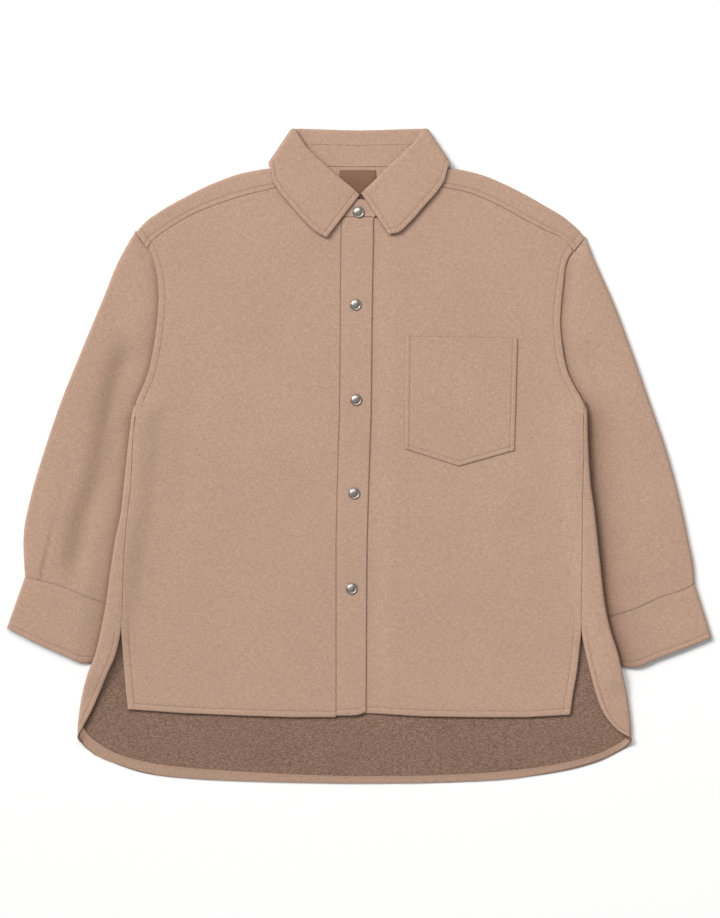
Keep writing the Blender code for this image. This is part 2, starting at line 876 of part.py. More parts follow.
sleeve("sleeve_right", RIGHT, ARMHOLE_RIGHT, SLEEVE_OUTER_RIGHT, SLEEVE_INNER_RIGHT, CUFF_SEAM_RIGHT)
sleeve("sleeve_left", LEFT, ARMHOLE_LEFT, SLEEVE_OUTER_LEFT, SLEEVE_INNER_LEFT, CUFF_SEAM_LEFT)
cuff("cuff_right", RIGHT, CUFF_SEAM_RIGHT, CUFF_END_RIGHT)
cuff("cuff_left", LEFT, CUFF_SEAM_LEFT, CUFF_END_LEFT)


# Collar
FRONT_WAY = np.array([-0.665, 0.747])
CORNER_WAY = np.array([-0.571, 0.821])
CORNER_OUT = np.array([0.821, 0.571])


def collar_columns(rows):
    """Columns from one front end round the corner to the back: roll centre, edge, seam, directions, angle."""
    depth = np.array([5.0, 8.0, 10.0, 11.0, 10.0, 8.0])
    columns = []
    for index in range(len(rows["roll_x"])):
        centre = np.array([rows["roll_x"][index], rows["roll_y"][index]]) - ROLL_RADIUS * FRONT_WAY
        edge = np.array([rows["edge_x"][index], rows["edge_y"][index]])
        columns.append((centre, edge, centre - depth[index] * FRONT_WAY, FRONT_WAY, CORNER_OUT, 0.0))
    corner = np.array([COLLAR_CORNER["roll_x"][0], COLLAR_CORNER["roll_y"][0]])
    centre = corner - ROLL_RADIUS * CORNER_WAY - LEAF_OUTER * CORNER_OUT
    edge = np.array([COLLAR_CORNER["edge_x"][0], COLLAR_CORNER["edge_y"][0]])
    edge = edge - LEAF_EDGE_TOP / 2 * CORNER_OUT
    low = np.array(STAND_CORNER)
    seam = centre + (low - centre) * 16.0 / np.linalg.norm(low - centre)
    for angle in np.linspace(0.0, math.pi, CORNER_STEPS + 1):
        columns.append((centre, edge, seam, CORNER_WAY, CORNER_OUT, angle))
    back = COLLAR_BACK
    for index in range(len(back["roll_x"])):
        way = np.array([0.0, 1.0])
        centre = np.array([back["roll_x"][index], back["roll_y"][index]]) - ROLL_RADIUS * way
        edge = np.array([back["edge_x"][index], back["edge_y"][index]])
        columns.append((centre, edge, centre - LEAF_FALL * way, way, CORNER_OUT, math.pi))
    return columns


def leaf_column(centre, edge, seam, way, out, angle):
    """Points of one column: from the seam on the stand, round the roll, out to the leaf's edge."""
    mid = neck_mid(centre[1])
    path = [(seam, mid, NECK_HALF)]
    for bend in np.linspace(0.0, math.pi, ROLL_STEPS + 1):
        away = NECK_HALF + ROLL_RADIUS * (1 - math.cos(bend))
        path.append((centre + way * ROLL_RADIUS * math.sin(bend), mid, away))
    for step in np.arange(1, LEAF_STEPS + 1) / LEAF_STEPS:
        ease = float(smooth(step, 0.0, 1.0))
        high = mid + LEAF_OUTER + (LEAF_EDGE_TOP - mid - LEAF_OUTER) * ease
        level = mid + (LEAF_EDGE_TOP / 2 - mid) * ease if angle > 0 else high / 2
        path.append((centre + (edge - centre) * step, level, high - level if angle == 0 else level))
    column = []
    for place, level, away in path:
        shifted = place + out * away * math.sin(angle)
        column.append((shifted[0], shifted[1], level + away * math.cos(angle)))
    return np.array(column)


def both_sides(right, left, middle):
    """Columns of the two sides, each from its front end to the back, joined about the middle column."""
    right = [column * (RIGHT, 1, 1) for column in right]
    return np.array(right + [middle] + left[::-1])


right_columns = collar_columns(COLLAR_RIGHT)
left_columns = collar_columns(COLLAR_LEFT)
upward = np.array([0.0, 1.0])
roll_middle = np.array([0.0, COLLAR_MIDDLE["roll_y"][0]]) - ROLL_RADIUS * upward
middle_column = (
    roll_middle,
    np.array([0.0, COLLAR_MIDDLE["edge_y"][0]]),
    roll_middle - LEAF_FALL * upward,
    upward,
    CORNER_OUT,
    math.pi,
)
leaf = both_sides(
    [leaf_column(*column) for column in right_columns],
    [leaf_column(*column) for column in left_columns],
    leaf_column(*middle_column),
)
solid("collar_leaf", leaf, wool["collar_leaf"], flip=True)


def stand_column(low, high, angle):
    """Outer face of the stand at one column, from the neckline to the seam with the leaf."""
    column = []
    for share in (0.0, 0.5, 1.0):
        place = np.array(low) + (np.array(high) - np.array(low)) * share
        mid = neck_mid(place[1])
        column.append((
            place[0] + STAND_OUTER * math.sin(angle),
            place[1],
            mid + STAND_OUTER * math.cos(angle),
        ))
    return np.array(column)


def stand_side(columns, front, skip):
    result = []
    for index, (centre, edge, seam, way, out, angle) in enumerate(columns):
        high = seam - SEAM_GAP * way
        if index < len(front["x"]):
            low = (front["x"][index], front["y"][index])
        elif index < len(front["x"]) + CORNER_STEPS + 1:
            low = STAND_CORNER
        else:
            step = index - len(front["x"]) - CORNER_STEPS - 1
            low = (STAND_BACK["x"][step], STAND_BACK["y"][step])
        if index >= skip:
            result.append(stand_column(low, high, angle))
    return result


right_stand = [
    stand_column((x, low), (x, high), 0.0)
    for x, low, high in zip(STAND_END["x"], STAND_END["low"], STAND_END["high"])
] + stand_side(right_columns, STAND_FRONT_RIGHT, 0)
left_stand = [stand_column((20.6, 286.8), (19.0, 314.8), 0.0)] + stand_side(left_columns, STAND_FRONT_LEFT, 2)
middle_stand = stand_column((0.0, 346.4), roll_middle - (LEAF_FALL + SEAM_GAP) * upward, math.pi)
solid("collar_stand", both_sides(right_stand, left_stand, middle_stand), wool["collar_stand"])

# Turned-up hem along the inside of the tail
run = np.linspace(0.015, 0.985, 25)
tail_outer = along(tail_curve, run)
tail_inner = offset(tail_outer, HEM_WIDTH)
tail_outer = offset(tail_outer, 0.8)
plan = np.stack((tail_inner, tail_outer))
rise = np.full(plan.shape[:2], CLOTH + LAYER_GAP + HEM_THICK)
solid("back_hem", raised(plan, rise), wool["back_hem"], HEM_THICK, flip=True)

# Plain label inside the neck
across = np.linspace(LABEL[0], LABEL[1], 3)
down = np.linspace(LABEL[3], LABEL[2], 4)
plan = np.dstack(np.meshgrid(across, down))
rise = yoke_rest(plan[..., 0], plan[..., 1]) + CLOTH + LAYER_GAP + LABEL_THICK
solid("neck_label", raised(plan, rise), brown, LABEL_THICK, flip=True)

# Press snaps: a domed cap inside a rolled ring, turned about its own axis
profile = (
    (0.0, SNAP_HEIGHT),
    (3.4, SNAP_HEIGHT - 0.1),
    (4.6, SNAP_HEIGHT - 1.0),
    (5.6, SNAP_HEIGHT - 0.5),
    (SNAP_RADIUS, SNAP_HEIGHT - 1.1),
    (SNAP_RADIUS, 0.0),
    (0.0, 0.0),
)
for index, (x, y) in enumerate(zip(SNAPS["x"], SNAPS["y"])):
    name = f"snap_{index + 1}"
    mesh = bpy.data.meshes.new(name)
    turned = bmesh.new()
    ring = [turned.verts.new((radius * MM, 0.0, height * MM)) for radius, height in profile]
    for before, after in zip(ring, ring[1:]):
        turned.edges.new((before, after))
    turned.to_mesh(mesh)
    turned.free()
    snap = bpy.data.objects.new(name, mesh)
    snap.data.materials.append(cloth(name + " metal", (0.42, 0.40, 0.37), 0.32, 1.0))
    collection.objects.link(snap)
    under = placket_height(x, y)
    snap.location = (x * MM, y * MM, (float(under) + LAYER_GAP) * MM)
    spin = snap.modifiers.new("Turn", "SCREW")
    spin.steps = 14
    spin.render_steps = 14
    spin.use_merge_vertices = True
    spin.merge_threshold = 0.00001
    spin.use_smooth_shade = True
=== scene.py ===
"""Looks of a wool shirt-jacket laid flat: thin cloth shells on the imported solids, stitching, snaps and light.

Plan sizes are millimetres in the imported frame's axes: X to the right seen from above, Y to the collar,
Z up. The wearer's right side is at -X. In the tables of one side, x is counted outward from the middle.
"""

import math

import bmesh
import bpy
import numpy as np
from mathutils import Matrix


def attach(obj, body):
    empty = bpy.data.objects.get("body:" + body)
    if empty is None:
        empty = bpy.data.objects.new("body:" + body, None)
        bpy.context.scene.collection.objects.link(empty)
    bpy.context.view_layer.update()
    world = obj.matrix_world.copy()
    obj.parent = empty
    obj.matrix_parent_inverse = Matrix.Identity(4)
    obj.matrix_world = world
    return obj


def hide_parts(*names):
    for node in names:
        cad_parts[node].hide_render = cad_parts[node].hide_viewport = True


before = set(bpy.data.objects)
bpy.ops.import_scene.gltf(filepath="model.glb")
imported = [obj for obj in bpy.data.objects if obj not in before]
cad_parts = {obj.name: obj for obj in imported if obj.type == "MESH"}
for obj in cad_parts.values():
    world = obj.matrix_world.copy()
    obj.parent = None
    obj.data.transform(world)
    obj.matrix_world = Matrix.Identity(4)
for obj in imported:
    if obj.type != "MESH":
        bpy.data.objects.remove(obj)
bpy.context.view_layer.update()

MM = 0.001
RIGHT = -1
LEFT = 1

# Cloth as the solids have it
CLOTH = 1.5
SEAM_GAP = 0.1
CUFF_GAP = 0.6
LAYER_GAP = 0.3
FRONT_TOP = 5.6
SIDE_TOP = 7.4
SIDE_RADIUS = SIDE_TOP / 2
SIDE_LIFT = 5.2
SLEEVE_TOP = 7.4
SLEEVE_TUCK_TOP = 4.2
SLEEVE_RADIUS = 4.0
PLACKET_STEP = 0.5
OVERLAP_DIP = 1.6
NECK_MID_BACK = 5.4
NECK_MID_FRONT = 3.9
NECK_HALF = 1.1
STAND_OUTER = NECK_HALF + CLOTH
ROLL_RADIUS = 2.15
LEAF_OUTER = NECK_HALF + 2 * ROLL_RADIUS
YOKE_LIFT = NECK_MID_BACK - STAND_OUTER
LEAF_EDGE_TOP = 12.0
LEAF_FALL = 16.0
SNAP_HEIGHT = 2.6
LABEL_THICK = 1.0
HEM_THICK = 1.5
HEM_WIDTH = 10.5
YOKE_BACK_SEAM = 212.4

# The shells and their sewing
SHELL = 1.1
TRIM_SHELL = 0.8
FINE = 3.5
STITCH_DEPTH = 0.42
STITCH_WIDTH = 0.85
STITCH_PITCH = 3.6
STITCH_LENGTH = 2.7
THREAD_RADIUS = 0.3
TURNED_ROLL = 1.7
TURNED_DROP = 1.3
SEAM_ROLL = 1.5
SEAM_DROP = 0.7
EDGE_PUFF = 0.3


def table(columns, *rows):
    """A dictionary of arrays, one for each named column."""
    return dict(zip(columns.split(), np.array(rows, float).T))


# Back panel at the wearer's right: silhouette, side seam or slit edge, how far the cloth turns over, lean
BACK_SIDE_RIGHT = table(
    "y x seam turn lean",
    (212, 243, 243, 0, 0),
    (188, 241, 241, 0, 0),
    (160, 243, 243, 0, 0),
    (126, 248, 248, 0, 0),
    (102, 253, 253, 0, 0),
    (80, 261.5, 261.5, 0, 0),
    (72, 264.9, 264.9, 12, 0),
    (66, 267.6, 267.6, 45, 0),
    (61, 269.6, 269.6, 110, 0),
    (57, 271, 266.2, 180, 0),
    (46, 273.5, 268.6, 180, 0),
    (34, 275, 270.1, 180, 0),
    (7, 278, 272, 180, 0),
    (-30, 282, 273.5, 180, 0),
    (-67, 286, 277.5, 180, 0),
    (-104, 293.5, 281, 180, 0),
    (-141, 299, 283, 180, 0),
    (-177, 304, 284, 180, 0),
    (-207, 309.5, 285.5, 180, 0),
    (-237, 316.5, 291.5, 180, 0),
    (-262, 326, 302, 180, 0),
    (-286, 332.5, 312, 180, 0),
    (-308, 336.3, 322, 180, 0),
    (-324, 338, 330.5, 180, 0),
    (-329, 338.2, 332.6, 165, 0.04),
    (-334, 338, 334, 125, 0.08),
    (-338, 337.2, 337.2, 85, 0.13),
    (-342, 335.4, 335.4, 50, 0.19),
    (-347, 332, 332, 20, 0.26),
    (-353, 325.5, 325.5, 0, 0.35),
    (-359, 318, 318, 0, 0.42),
)
BACK_SIDE_LEFT = table(
    "y x seam turn lean",
    (212, 245.5, 245.5, 0, 0),
    (188, 243, 243, 0, 0),
    (160, 241.2, 241.2, 0, 0),
    (126, 244.2, 244.2, 0, 0),
    (102, 249.5, 249.5, 0, 0),
    (80, 260, 260, 0, 0),
    (72, 264.4, 264.4, 12, 0),
    (66, 267.9, 267.9, 45, 0),
    (61, 270.6, 270.6, 110, 0),
    (57, 272.6, 267.8, 180, 0),
    (46, 273.4, 268.5, 180, 0),
    (34, 273.6, 268.7, 180, 0),
    (7, 274.6, 269, 180, 0),
    (-30, 277, 268, 180, 0),
    (-67, 282, 267.1, 180, 0),
    (-104, 286, 267, 180, 0),
    (-141, 290, 266.5, 180, 0),
    (-177, 294.3, 266, 180, 0),
    (-207, 300.5, 266, 180, 0),
    (-237, 310, 271, 180, 0),
    (-262, 315.5, 277, 180, 0),
    (-286, 321, 283.5, 180, 0),
    (-308, 324, 292, 180, 0),
    (-324, 325.8, 304, 180, 0),
    (-329, 326.2, 310, 180, 0.04),
    (-334, 326.2, 317, 160, 0.1),
    (-338, 325.9, 321, 115, 0.17),
    (-342, 325.2, 325.2, 65, 0.25),
    (-346, 323.2, 323.2, 25, 0.34),
    (-350, 319.5, 319.5, 0, 0.44),
    (-353, 315, 315, 0, 0.54),
)
# Tail: the free bottom edge of the back between the two rounded corners, signed x
TAIL = table(
    "x y",
    (-292, -370),
    (-262, -380),
    (-232, -385),
    (-193, -388),
    (-143, -390),
    (-64, -392),
    (-4, -393),
    (56, -393),
    (145, -390),
    (184, -387),
    (224, -382),
    (264, -374),
    (294, -364),
)

# Side edge of each front: armhole, side seam, then the slit
FRONT_SIDE_RIGHT = table(
    "y x",
    (247.6, 253.8),
    (243, 250.4),
    (237, 248.0),
    (230, 246),
    (212, 242.4),
    (188, 241),
    (160, 243),
    (126, 248),
    (102, 253),
    (80, 261),
    (72, 264.9),
    (66, 267.2),
    (61, 268.8),
    (57, 269.0),
    (51, 268.6),
    (46, 268.3),
    (34, 270.1),
    (7, 272),
    (-30, 273.5),
    (-67, 277.5),
    (-104, 281),
    (-141, 283),
    (-177, 284),
    (-207, 285.5),
    (-237, 283.8),
    (-262, 282),
    (-286, 279.8),
    (-304.5, 278),
)
FRONT_SIDE_LEFT = table(
    "y x",
    (243.8, 256.4),
    (239.4, 252.2),
    (233, 249.4),
    (226, 247),
    (212, 245.5),
    (188, 243),
    (160, 241.2),
    (126, 244.2),
    (102, 249.5),
    (80, 259.6),
    (72, 264.3),
    (66, 267.4),
    (61, 269.4),
    (57, 269.6),
    (51, 269.0),
    (46, 268.3),
    (34, 268.7),
    (7, 269),
    (-30, 268),
    (-67, 267.1),
    (-104, 267),
    (-141, 266.5),
    (-177, 266),
    (-207, 266),
    (-237, 263.6),
    (-262, 260.6),
    (-286, 256.4),
    (-311, 253),
)
# Front hem, outward from the placket to the slit
HEM_RIGHT = table("x y", (28, -314), (83, -314), (143, -312), (213, -309), (278, -304.5))
HEM_LEFT = table("x y", (-12, -308.5), (26, -310), (75, -313), (145, -314), (200, -314), (253, -311))

# Placket: its seam to the right front and its free edge, signed x
PLACKET = table(
    "y seam edge",
    (285.6, -22, 17),
    (240, -22.4, 16.4),
    (195, -22.8, 15.6),
    (151, -23, 15),
    (100, -23.4, 14.6),
    (52, -24, 14),
    (7, -25.4, 12.5),
    (-39, -26.6, 11),
    (-76, -27.4, 9.9),
    (-113, -28, 9),
    (-160, -28, 8.7),
    (-210, -28, 8.4),
    (-260, -28, 8.2),
    (-312, -28, 8),
)
OVERLAP_EDGE = -12.0

# Yoke: shoulder fold or back neckline, turn over the fold, end of the cut at the front seam or neckline
YOKE_RIGHT = table(
    "x y turn end_x end_y",
    (269, 267, 180, 254.4, 248.2),
    (264, 272.4, 180, 249.4, 256.4),
    (257, 280, 180, 237.4, 266.2),
    (239, 293, 180, 220, 278),
    (211, 309, 180, 196, 291),
    (174, 327, 180, 163, 304),
    (143, 338, 180, 132, 313.4),
    (114, 343.5, 180, 100, 321),
    (92, 345.3, 180, 84, 326),
    (82, 346, 180, 75, 330),
    (80.5, 346.5, 180, 75.3, 337),
    (79.8, 346.8, 180, 77.0, 342.5),
    (78.4, 347, 140, 78.4, 347),
    (77, 347, 60, 77, 347),
    (75.4, 347, 0, 75.4, 347),
    (56, 346.6, 0, 56, 346.6),
    (28, 346.2, 0, 28, 346.2),
)
YOKE_LEFT = table(
    "x y turn end_x end_y",
    (271, 260.5, 180, 257.0, 244.4),
    (268, 264.2, 180, 252.6, 251.6),
    (264, 269, 180, 241.0, 262.0),
    (246, 285, 180, 222, 270.5),
    (218, 302, 180, 200, 282),
    (181, 322, 180, 165, 301),
    (145, 337, 180, 130, 315.4),
    (113, 344, 180, 99, 322),
    (92, 345.3, 180, 84, 326),
    (82, 346, 180, 75, 330),
    (80.5, 346.5, 180, 75.3, 337),
    (79.8, 346.8, 180, 77.0, 342.5),
    (78.4, 347, 140, 78.4, 347),
    (77, 347, 60, 77, 347),
    (75.4, 347, 0, 75.4, 347),
    (56, 346.6, 0, 56, 346.6),
    (28, 346.2, 0, 28, 346.2),
)
NECK_BACK = 346.0
# Front neckline, outward from the placket seam to the end of the front yoke seam
NECKLINE = table("x y", (22, 285.6), (30, 290), (42, 298.6), (54, 309), (65, 320), (75, 329.6))

# Sleeves: armhole seam on the sleeve, outer fold, inner fold, cuff seam
ARMHOLE_RIGHT = table(
    "y x",
    (262.5, 264.8),
    (255, 258.8),
    (248, 253.4),
    (243, 250.4),
    (237, 248.2),
    (230, 246.2),
    (212, 242.6),
    (188, 241.2),
    (160, 243.2),
    (126, 248.2),
    (102, 253.2),
    (80, 262),
    (72, 265.6),
    (66, 268.4),
    (61, 269.0),
    (56, 268.4),
)
ARMHOLE_LEFT = table(
    "y x",
    (257.0, 267.2),
    (251, 261.8),
    (244, 256.0),
    (239.4, 252.2),
    (233, 249.7),
    (226, 247.3),
    (212, 245.8),
    (188, 243.3),
    (160, 241.4),
    (126, 244.4),
    (102, 249.7),
    (80, 261),
    (72, 265.2),
    (66, 268.8),
    (61, 269.6),
    (56, 269.0),
)
SLEEVE_OUTER_RIGHT = table(
    "x y",
    (268.4, 269.5),
    (286, 239),
    (310, 182),
    (334, 124),
    (357, 67),
    (377, 9),
    (394, -49),
    (402.5, -92),
    (402.5, -122),
    (401, -145),
)
SLEEVE_OUTER_LEFT = table(
    "x y",
    (270.8, 262.8),
    (280, 239),
    (305, 182),
    (327, 124),
    (347, 67),
    (367, 9),
    (383, -49),
    (394, -100),
    (400, -130),
    (402, -154),
)
SLEEVE_INNER_RIGHT = table(
    "x y",
    (268.4, 56),
    (269, 30),
    (270.5, 7),
    (274.5, -30),
    (279, -67),
    (286.5, -104),
    (292, -141),
    (297, -181),
)
SLEEVE_INNER_LEFT = table(
    "x y",
    (269.0, 56),
    (268, 30),
    (267, 7),
    (270, -25),
    (275, -62),
    (281, -120),
    (286, -165),
    (290, -197),
)
CUFF_SEAM_RIGHT = table(
    "x y", (401, -145), (382, -150), (362, -155), (342, -163), (322, -171), (307, -177), (297, -181)
)
CUFF_SEAM_LEFT = table(
    "x y", (402, -154), (383, -163), (363, -169), (344, -178), (324, -186), (308, -191), (290, -197)
)
CUFF_END_RIGHT = table("x y", (423, -207), (392, -223), (352, -241), (333, -248.8), (322, -248.4), (311, -243))
CUFF_END_LEFT = table(
    "x y", (422.4, -218), (396, -229), (358, -243.4), (326, -254.6), (316, -253.2), (305.5, -247)
)
# The soft trough down the upper face of each sleeve
TROUGH_RIGHT = table("y x", (126, 290), (71, 305), (16, 314), (-30, 323), (-76, 340), (-130, 350))
TROUGH_LEFT = table("y x", (110, 276), (60, 292), (10, 298), (-40, 306), (-100, 316), (-150, 322))
TROUGH_DEPTH = 3.8
TROUGH_SHIFT = 12.0
TROUGH_OUTER = 15.0
TROUGH_INNER = 24.0
HOLLOW_DEPTH = 2.0
HOLLOW_WIDTH = 20.0
SLEEVE_LEAST = 2.5

# Patch pocket, signed x: its corners
POCKET_TOP = table("x y", (55, 143), (190, 141))
POCKET_BOTTOM = table("x y", (54, 8), (119, -13), (186, 6))

# Collar in front: roll line and outer edge of the leaf, outward from the middle
COLLAR_RIGHT = table(
    "roll_x roll_y edge_x edge_y",
    (-1.2, 312.8, 39, 261),
    (7, 320, 50, 266.5),
    (20, 331, 66, 281),
    (35, 343.6, 81, 298),
    (50, 357, 94, 313),
    (64, 371, 104, 327.5),
)
COLLAR_LEFT = table(
    "roll_x roll_y edge_x edge_y",
    (1.4, 314.6, 35, 265),
    (9, 321.4, 46, 266.8),
    (20, 332, 62, 280.5),
    (35, 347, 79, 300),
    (50, 361, 92, 314.5),
    (64, 374, 102, 328.5),
)
# Depth of the leaf's seam under its roll at each of those columns
COLLAR_DEPTH = np.array([5.0, 8.0, 10.0, 11.0, 10.0, 8.0])
# Collar corner: roll and outer edge where the leaf turns to the back, and the hidden back fall
COLLAR_CORNER = table("roll_x roll_y edge_x edge_y", (82, 392.2, 112.2, 347.0))
COLLAR_BACK = table(
    "roll_x roll_y edge_x edge_y",
    (66, 392, 88, 342),
    (42, 391.2, 50, 338),
    (20, 390.4, 24, 337.4),
    (0, 390, 0, 337),
)
# Stand: its neckline edge, outward from the middle
STAND_FRONT_RIGHT = table(
    "x y", (21.6, 286), (28.6, 290.2), (39.6, 298), (50.8, 307.6), (60.8, 317.4), (69.6, 328)
)
STAND_FRONT_LEFT = table(
    "x y", (21, 283.8), (29.2, 289.4), (39.6, 298), (50.8, 307.6), (60.8, 317.4), (69.6, 328)
)
STAND_CORNER = (75.2, 347.4)
STAND_BACK = table("x y", (66, 347.4), (42, 346.9), (20, 346.6), (0, 346.4))
STAND_END = table("x low high", (-16.6, 286, 305.4), (-6, 286, 306.6))

LABEL = (-24.0, 19.5, 312.0, 342.0)

# Snap centres, signed x, from the stand down
SNAPS = table("x y", (-1.3, 291.7), (-4.7, 180.8), (-4.2, 66.7), (-6.6, -45.4), (-9.5, -159.5))


# Curves
def smooth(value, low, high):
    """Smooth step from 0 at low to 1 at high, either way round."""
    t = np.clip((np.asarray(value, float) - low) / (high - low), 0.0, 1.0)
    return t * t * (3.0 - 2.0 * t)


def points(columns, x="x", y="y"):
    return np.column_stack((columns[x], columns[y]))


def reach_of(curve):
    """How far along a curve each of its points lies."""
    gaps = np.linalg.norm(np.diff(np.asarray(curve, float), axis=0), axis=1)
    return np.concatenate(([0.0], np.cumsum(gaps)))


def hermite(reach, values, slope, place):
    """A cubic through the values with the given slopes, read at places along the reach."""
    step = np.clip(np.searchsorted(reach, place, side="right") - 1, 0, len(reach) - 2)
    width = reach[step + 1] - reach[step]
    t = (place - reach[step]) / width
    if values.ndim > 1:
        t = t[:, None]
        width = width[:, None]
    return (
        (2 * t**3 - 3 * t**2 + 1) * values[step]
        + (t**3 - 2 * t**2 + t) * width * slope[step]
        + (3 * t**2 - 2 * t**3) * values[step + 1]
        + (t**3 - t**2) * width * slope[step + 1]
    )


def along(curve, where):
    """A smooth curve through the points, read at fractions of its length."""
    curve = np.asarray(curve, float)
    reach = reach_of(curve)
    place = np.clip(np.asarray(where, float), 0.0, 1.0) * reach[-1]
    return hermite(reach, curve, np.gradient(curve, reach, axis=0), place)


def gentle(values, place):
    """A cubic through evenly numbered values that never swings past them."""
    rise = np.diff(values)
    slope = np.zeros(len(values))
    same = rise[:-1] * rise[1:] > 0
    slope[1:-1][same] = 2 * rise[:-1][same] * rise[1:][same] / (rise[:-1][same] + rise[1:][same])
    slope[0] = rise[0]
    slope[-1] = rise[-1]
    return hermite(np.arange(len(values), dtype=float), values, slope, place)


def close_steps(curve, step):
    """Fractional row numbers that split each gap of a curve into parts no longer than a step."""
    places = []
    for index, gap in enumerate(np.diff(reach_of(curve))):
        count = max(1, math.ceil(gap / step))
        places.append(index + np.arange(count) / count)
    return np.concatenate(places + [[len(curve) - 1.0]])


def finer(rows, places):
    return {name: gentle(column, places) for name, column in rows.items()}


def fine_table(rows, step=FINE, x="x", y="y"):
    return finer(rows, close_steps(points(rows, x, y), step))


def patch(top, bottom, first, last, across, down, fade=1):
    """A patch between four edges: top and bottom run across, first and last run down.

    The top's bend fades faster down the patch as fade rises.
    """
    u = np.asarray(across)[None, :, None]
    v = np.asarray(down)[:, None, None]
    top_bend = (top - (1 - u) * top[0] - u * top[-1]) * (1 - v) ** fade
    bottom_bend = (bottom - (1 - u) * bottom[0] - u * bottom[-1]) * v
    return top_bend + bottom_bend + (1 - u) * first[:, None] + u * last[:, None]


def offset(curve, distance):
    """A plan curve moved square to itself, to the left of its run."""
    run = np.gradient(curve, axis=0)
    run = run / np.linalg.norm(run, axis=1)[:, None]
    return curve + distance * np.column_stack((-run[:, 1], run[:, 0]))


# Grids
def edge_steps(roll, stitch=None):
    """Distances from an edge at which points are wanted: close round its roll and across its stitching."""
    turn = roll * (1 - np.cos(np.linspace(0.0, math.pi / 2, 6)))
    if stitch is None:
        return np.concatenate((turn, (roll + 1.2, roll + 3.0)))
    near = STITCH_WIDTH * np.array([-2.2, -1.2, -0.6, 0.0, 0.6, 1.2, 2.2])
    return np.concatenate((turn, ((roll + stitch) / 2,), stitch + near, (stitch + 4.5,)))


STITCH_INDEX = 10
PLAIN = np.array([0.0])


def respaced(grid, first, last, step=FINE, axis=1, size=2):
    """Lines of a grid read again at set distances from both ends and evenly between.

    Two more channels follow the old ones: the distance from the first end and from the last.
    """
    lines = np.moveaxis(grid, axis, 1)
    gaps = np.linalg.norm(np.diff(lines[..., :size], axis=1), axis=-1)
    reach = np.concatenate((np.zeros((len(lines), 1)), np.cumsum(gaps, axis=1)), axis=1)
    total = reach[:, -1]
    count = max(1, math.ceil((total.max() - first[-1] - last[-1]) / step))
    result = []
    for line, far, length in zip(lines, reach, total):
        shrink = min(1.0, 0.9 * length / (first[-1] + last[-1] + 0.01))
        between = np.linspace(first[-1] * shrink, length - last[-1] * shrink, count + 1)[1:-1]
        place = np.concatenate((first * shrink, between, (length - last * shrink)[::-1]))
        channels = [np.interp(place, far, channel) for channel in line.T]
        result.append(np.column_stack(channels + [place, length - place]))
    return np.moveaxis(np.array(result), 1, axis)


def edge_shape(distance, roll, drop, stitch=None, puff=EDGE_PUFF):
    """Change of height near an edge: it rounds off, and swells as far as a sunk line of stitching."""
    t = np.clip(distance / roll, 0.0, 1.0)
    change = -drop * (1 - np.sqrt(1 - (1 - t) ** 2))
    if stitch is not None:
        change = change + puff * np.sin(math.pi * np.clip(distance / stitch, 0.0, 1.0))
        change = change - STITCH_DEPTH * np.exp(-(((distance - stitch) / STITCH_WIDTH) ** 2))
    return change


def turned(distance, stitch=None):
    return edge_shape(distance, TURNED_ROLL, TURNED_DROP, stitch)


def seamed(distance, stitch=None):
    return edge_shape(distance, SEAM_ROLL, SEAM_DROP, stitch, 0.1)


def sunk_shade(change):
    """Painted shade where an edge or stitching sinks by a change of height."""
    return np.clip(-0.4 * change, 0.0, 0.5)


# Heights of the layers
def side_lift(x, y):
    """How far the body's sides are held up by the sleeves that lie under them."""
    x = np.asarray(x, float)
    y = np.asarray(y, float)
    result = np.zeros(np.broadcast(x, y).shape)
    for side, rows in ((RIGHT, BACK_SIDE_RIGHT), (LEFT, BACK_SIDE_LEFT)):
        fold = np.interp(-y, -rows["y"], rows["x"])
        inside = fold - side * x
        span = smooth(y, 78, 46) * smooth(y, -292, -262)
        result = result + SIDE_LIFT * span * (1 - smooth(inside, 12, 42)) * (inside < 60)
    return result


def neck_mid(y):
    return NECK_MID_FRONT + (NECK_MID_BACK - NECK_MID_FRONT) * smooth(y, 305, 330)


def front_height(x, y):
    """Outer face of the fronts and of the yoke's front flaps."""
    x = np.asarray(x, float)
    y = np.asarray(y, float)
    neck = (1 - smooth(np.abs(x), 90, 165)) * smooth(y, 235, 282)
    height = FRONT_TOP + (neck_mid(y) + STAND_OUTER - FRONT_TOP) * neck
    for side, rows in ((RIGHT, BACK_SIDE_RIGHT), (LEFT, BACK_SIDE_LEFT)):
        fold = np.interp(-y, -rows["y"], rows["x"])
        inside = fold - side * x
        rise = (1 - smooth(inside, 24, 80)) * smooth(y, 92, 56) * (inside < 90)
        height = height + (SIDE_TOP - FRONT_TOP) * rise
    return height + side_lift(x, y)


def overlap_height(x, y):
    """The left front dips under the placket."""
    return front_height(x, y) - OVERLAP_DIP * (1 - smooth(x, 18.2, 42.0))


def placket_height(x, y):
    seam = np.interp(-np.asarray(y, float), -PLACKET["y"], PLACKET["seam"])
    return front_height(x, y) + PLACKET_STEP * smooth(x - seam, 0.0, 10.0)


def yoke_rest(x, y):
    """Height of the yoke's back over the surface: it lies on the collar's fall near the neck."""
    return YOKE_LIFT * (1 - smooth(np.abs(x), 96, 150)) * smooth(y, 300, 336)
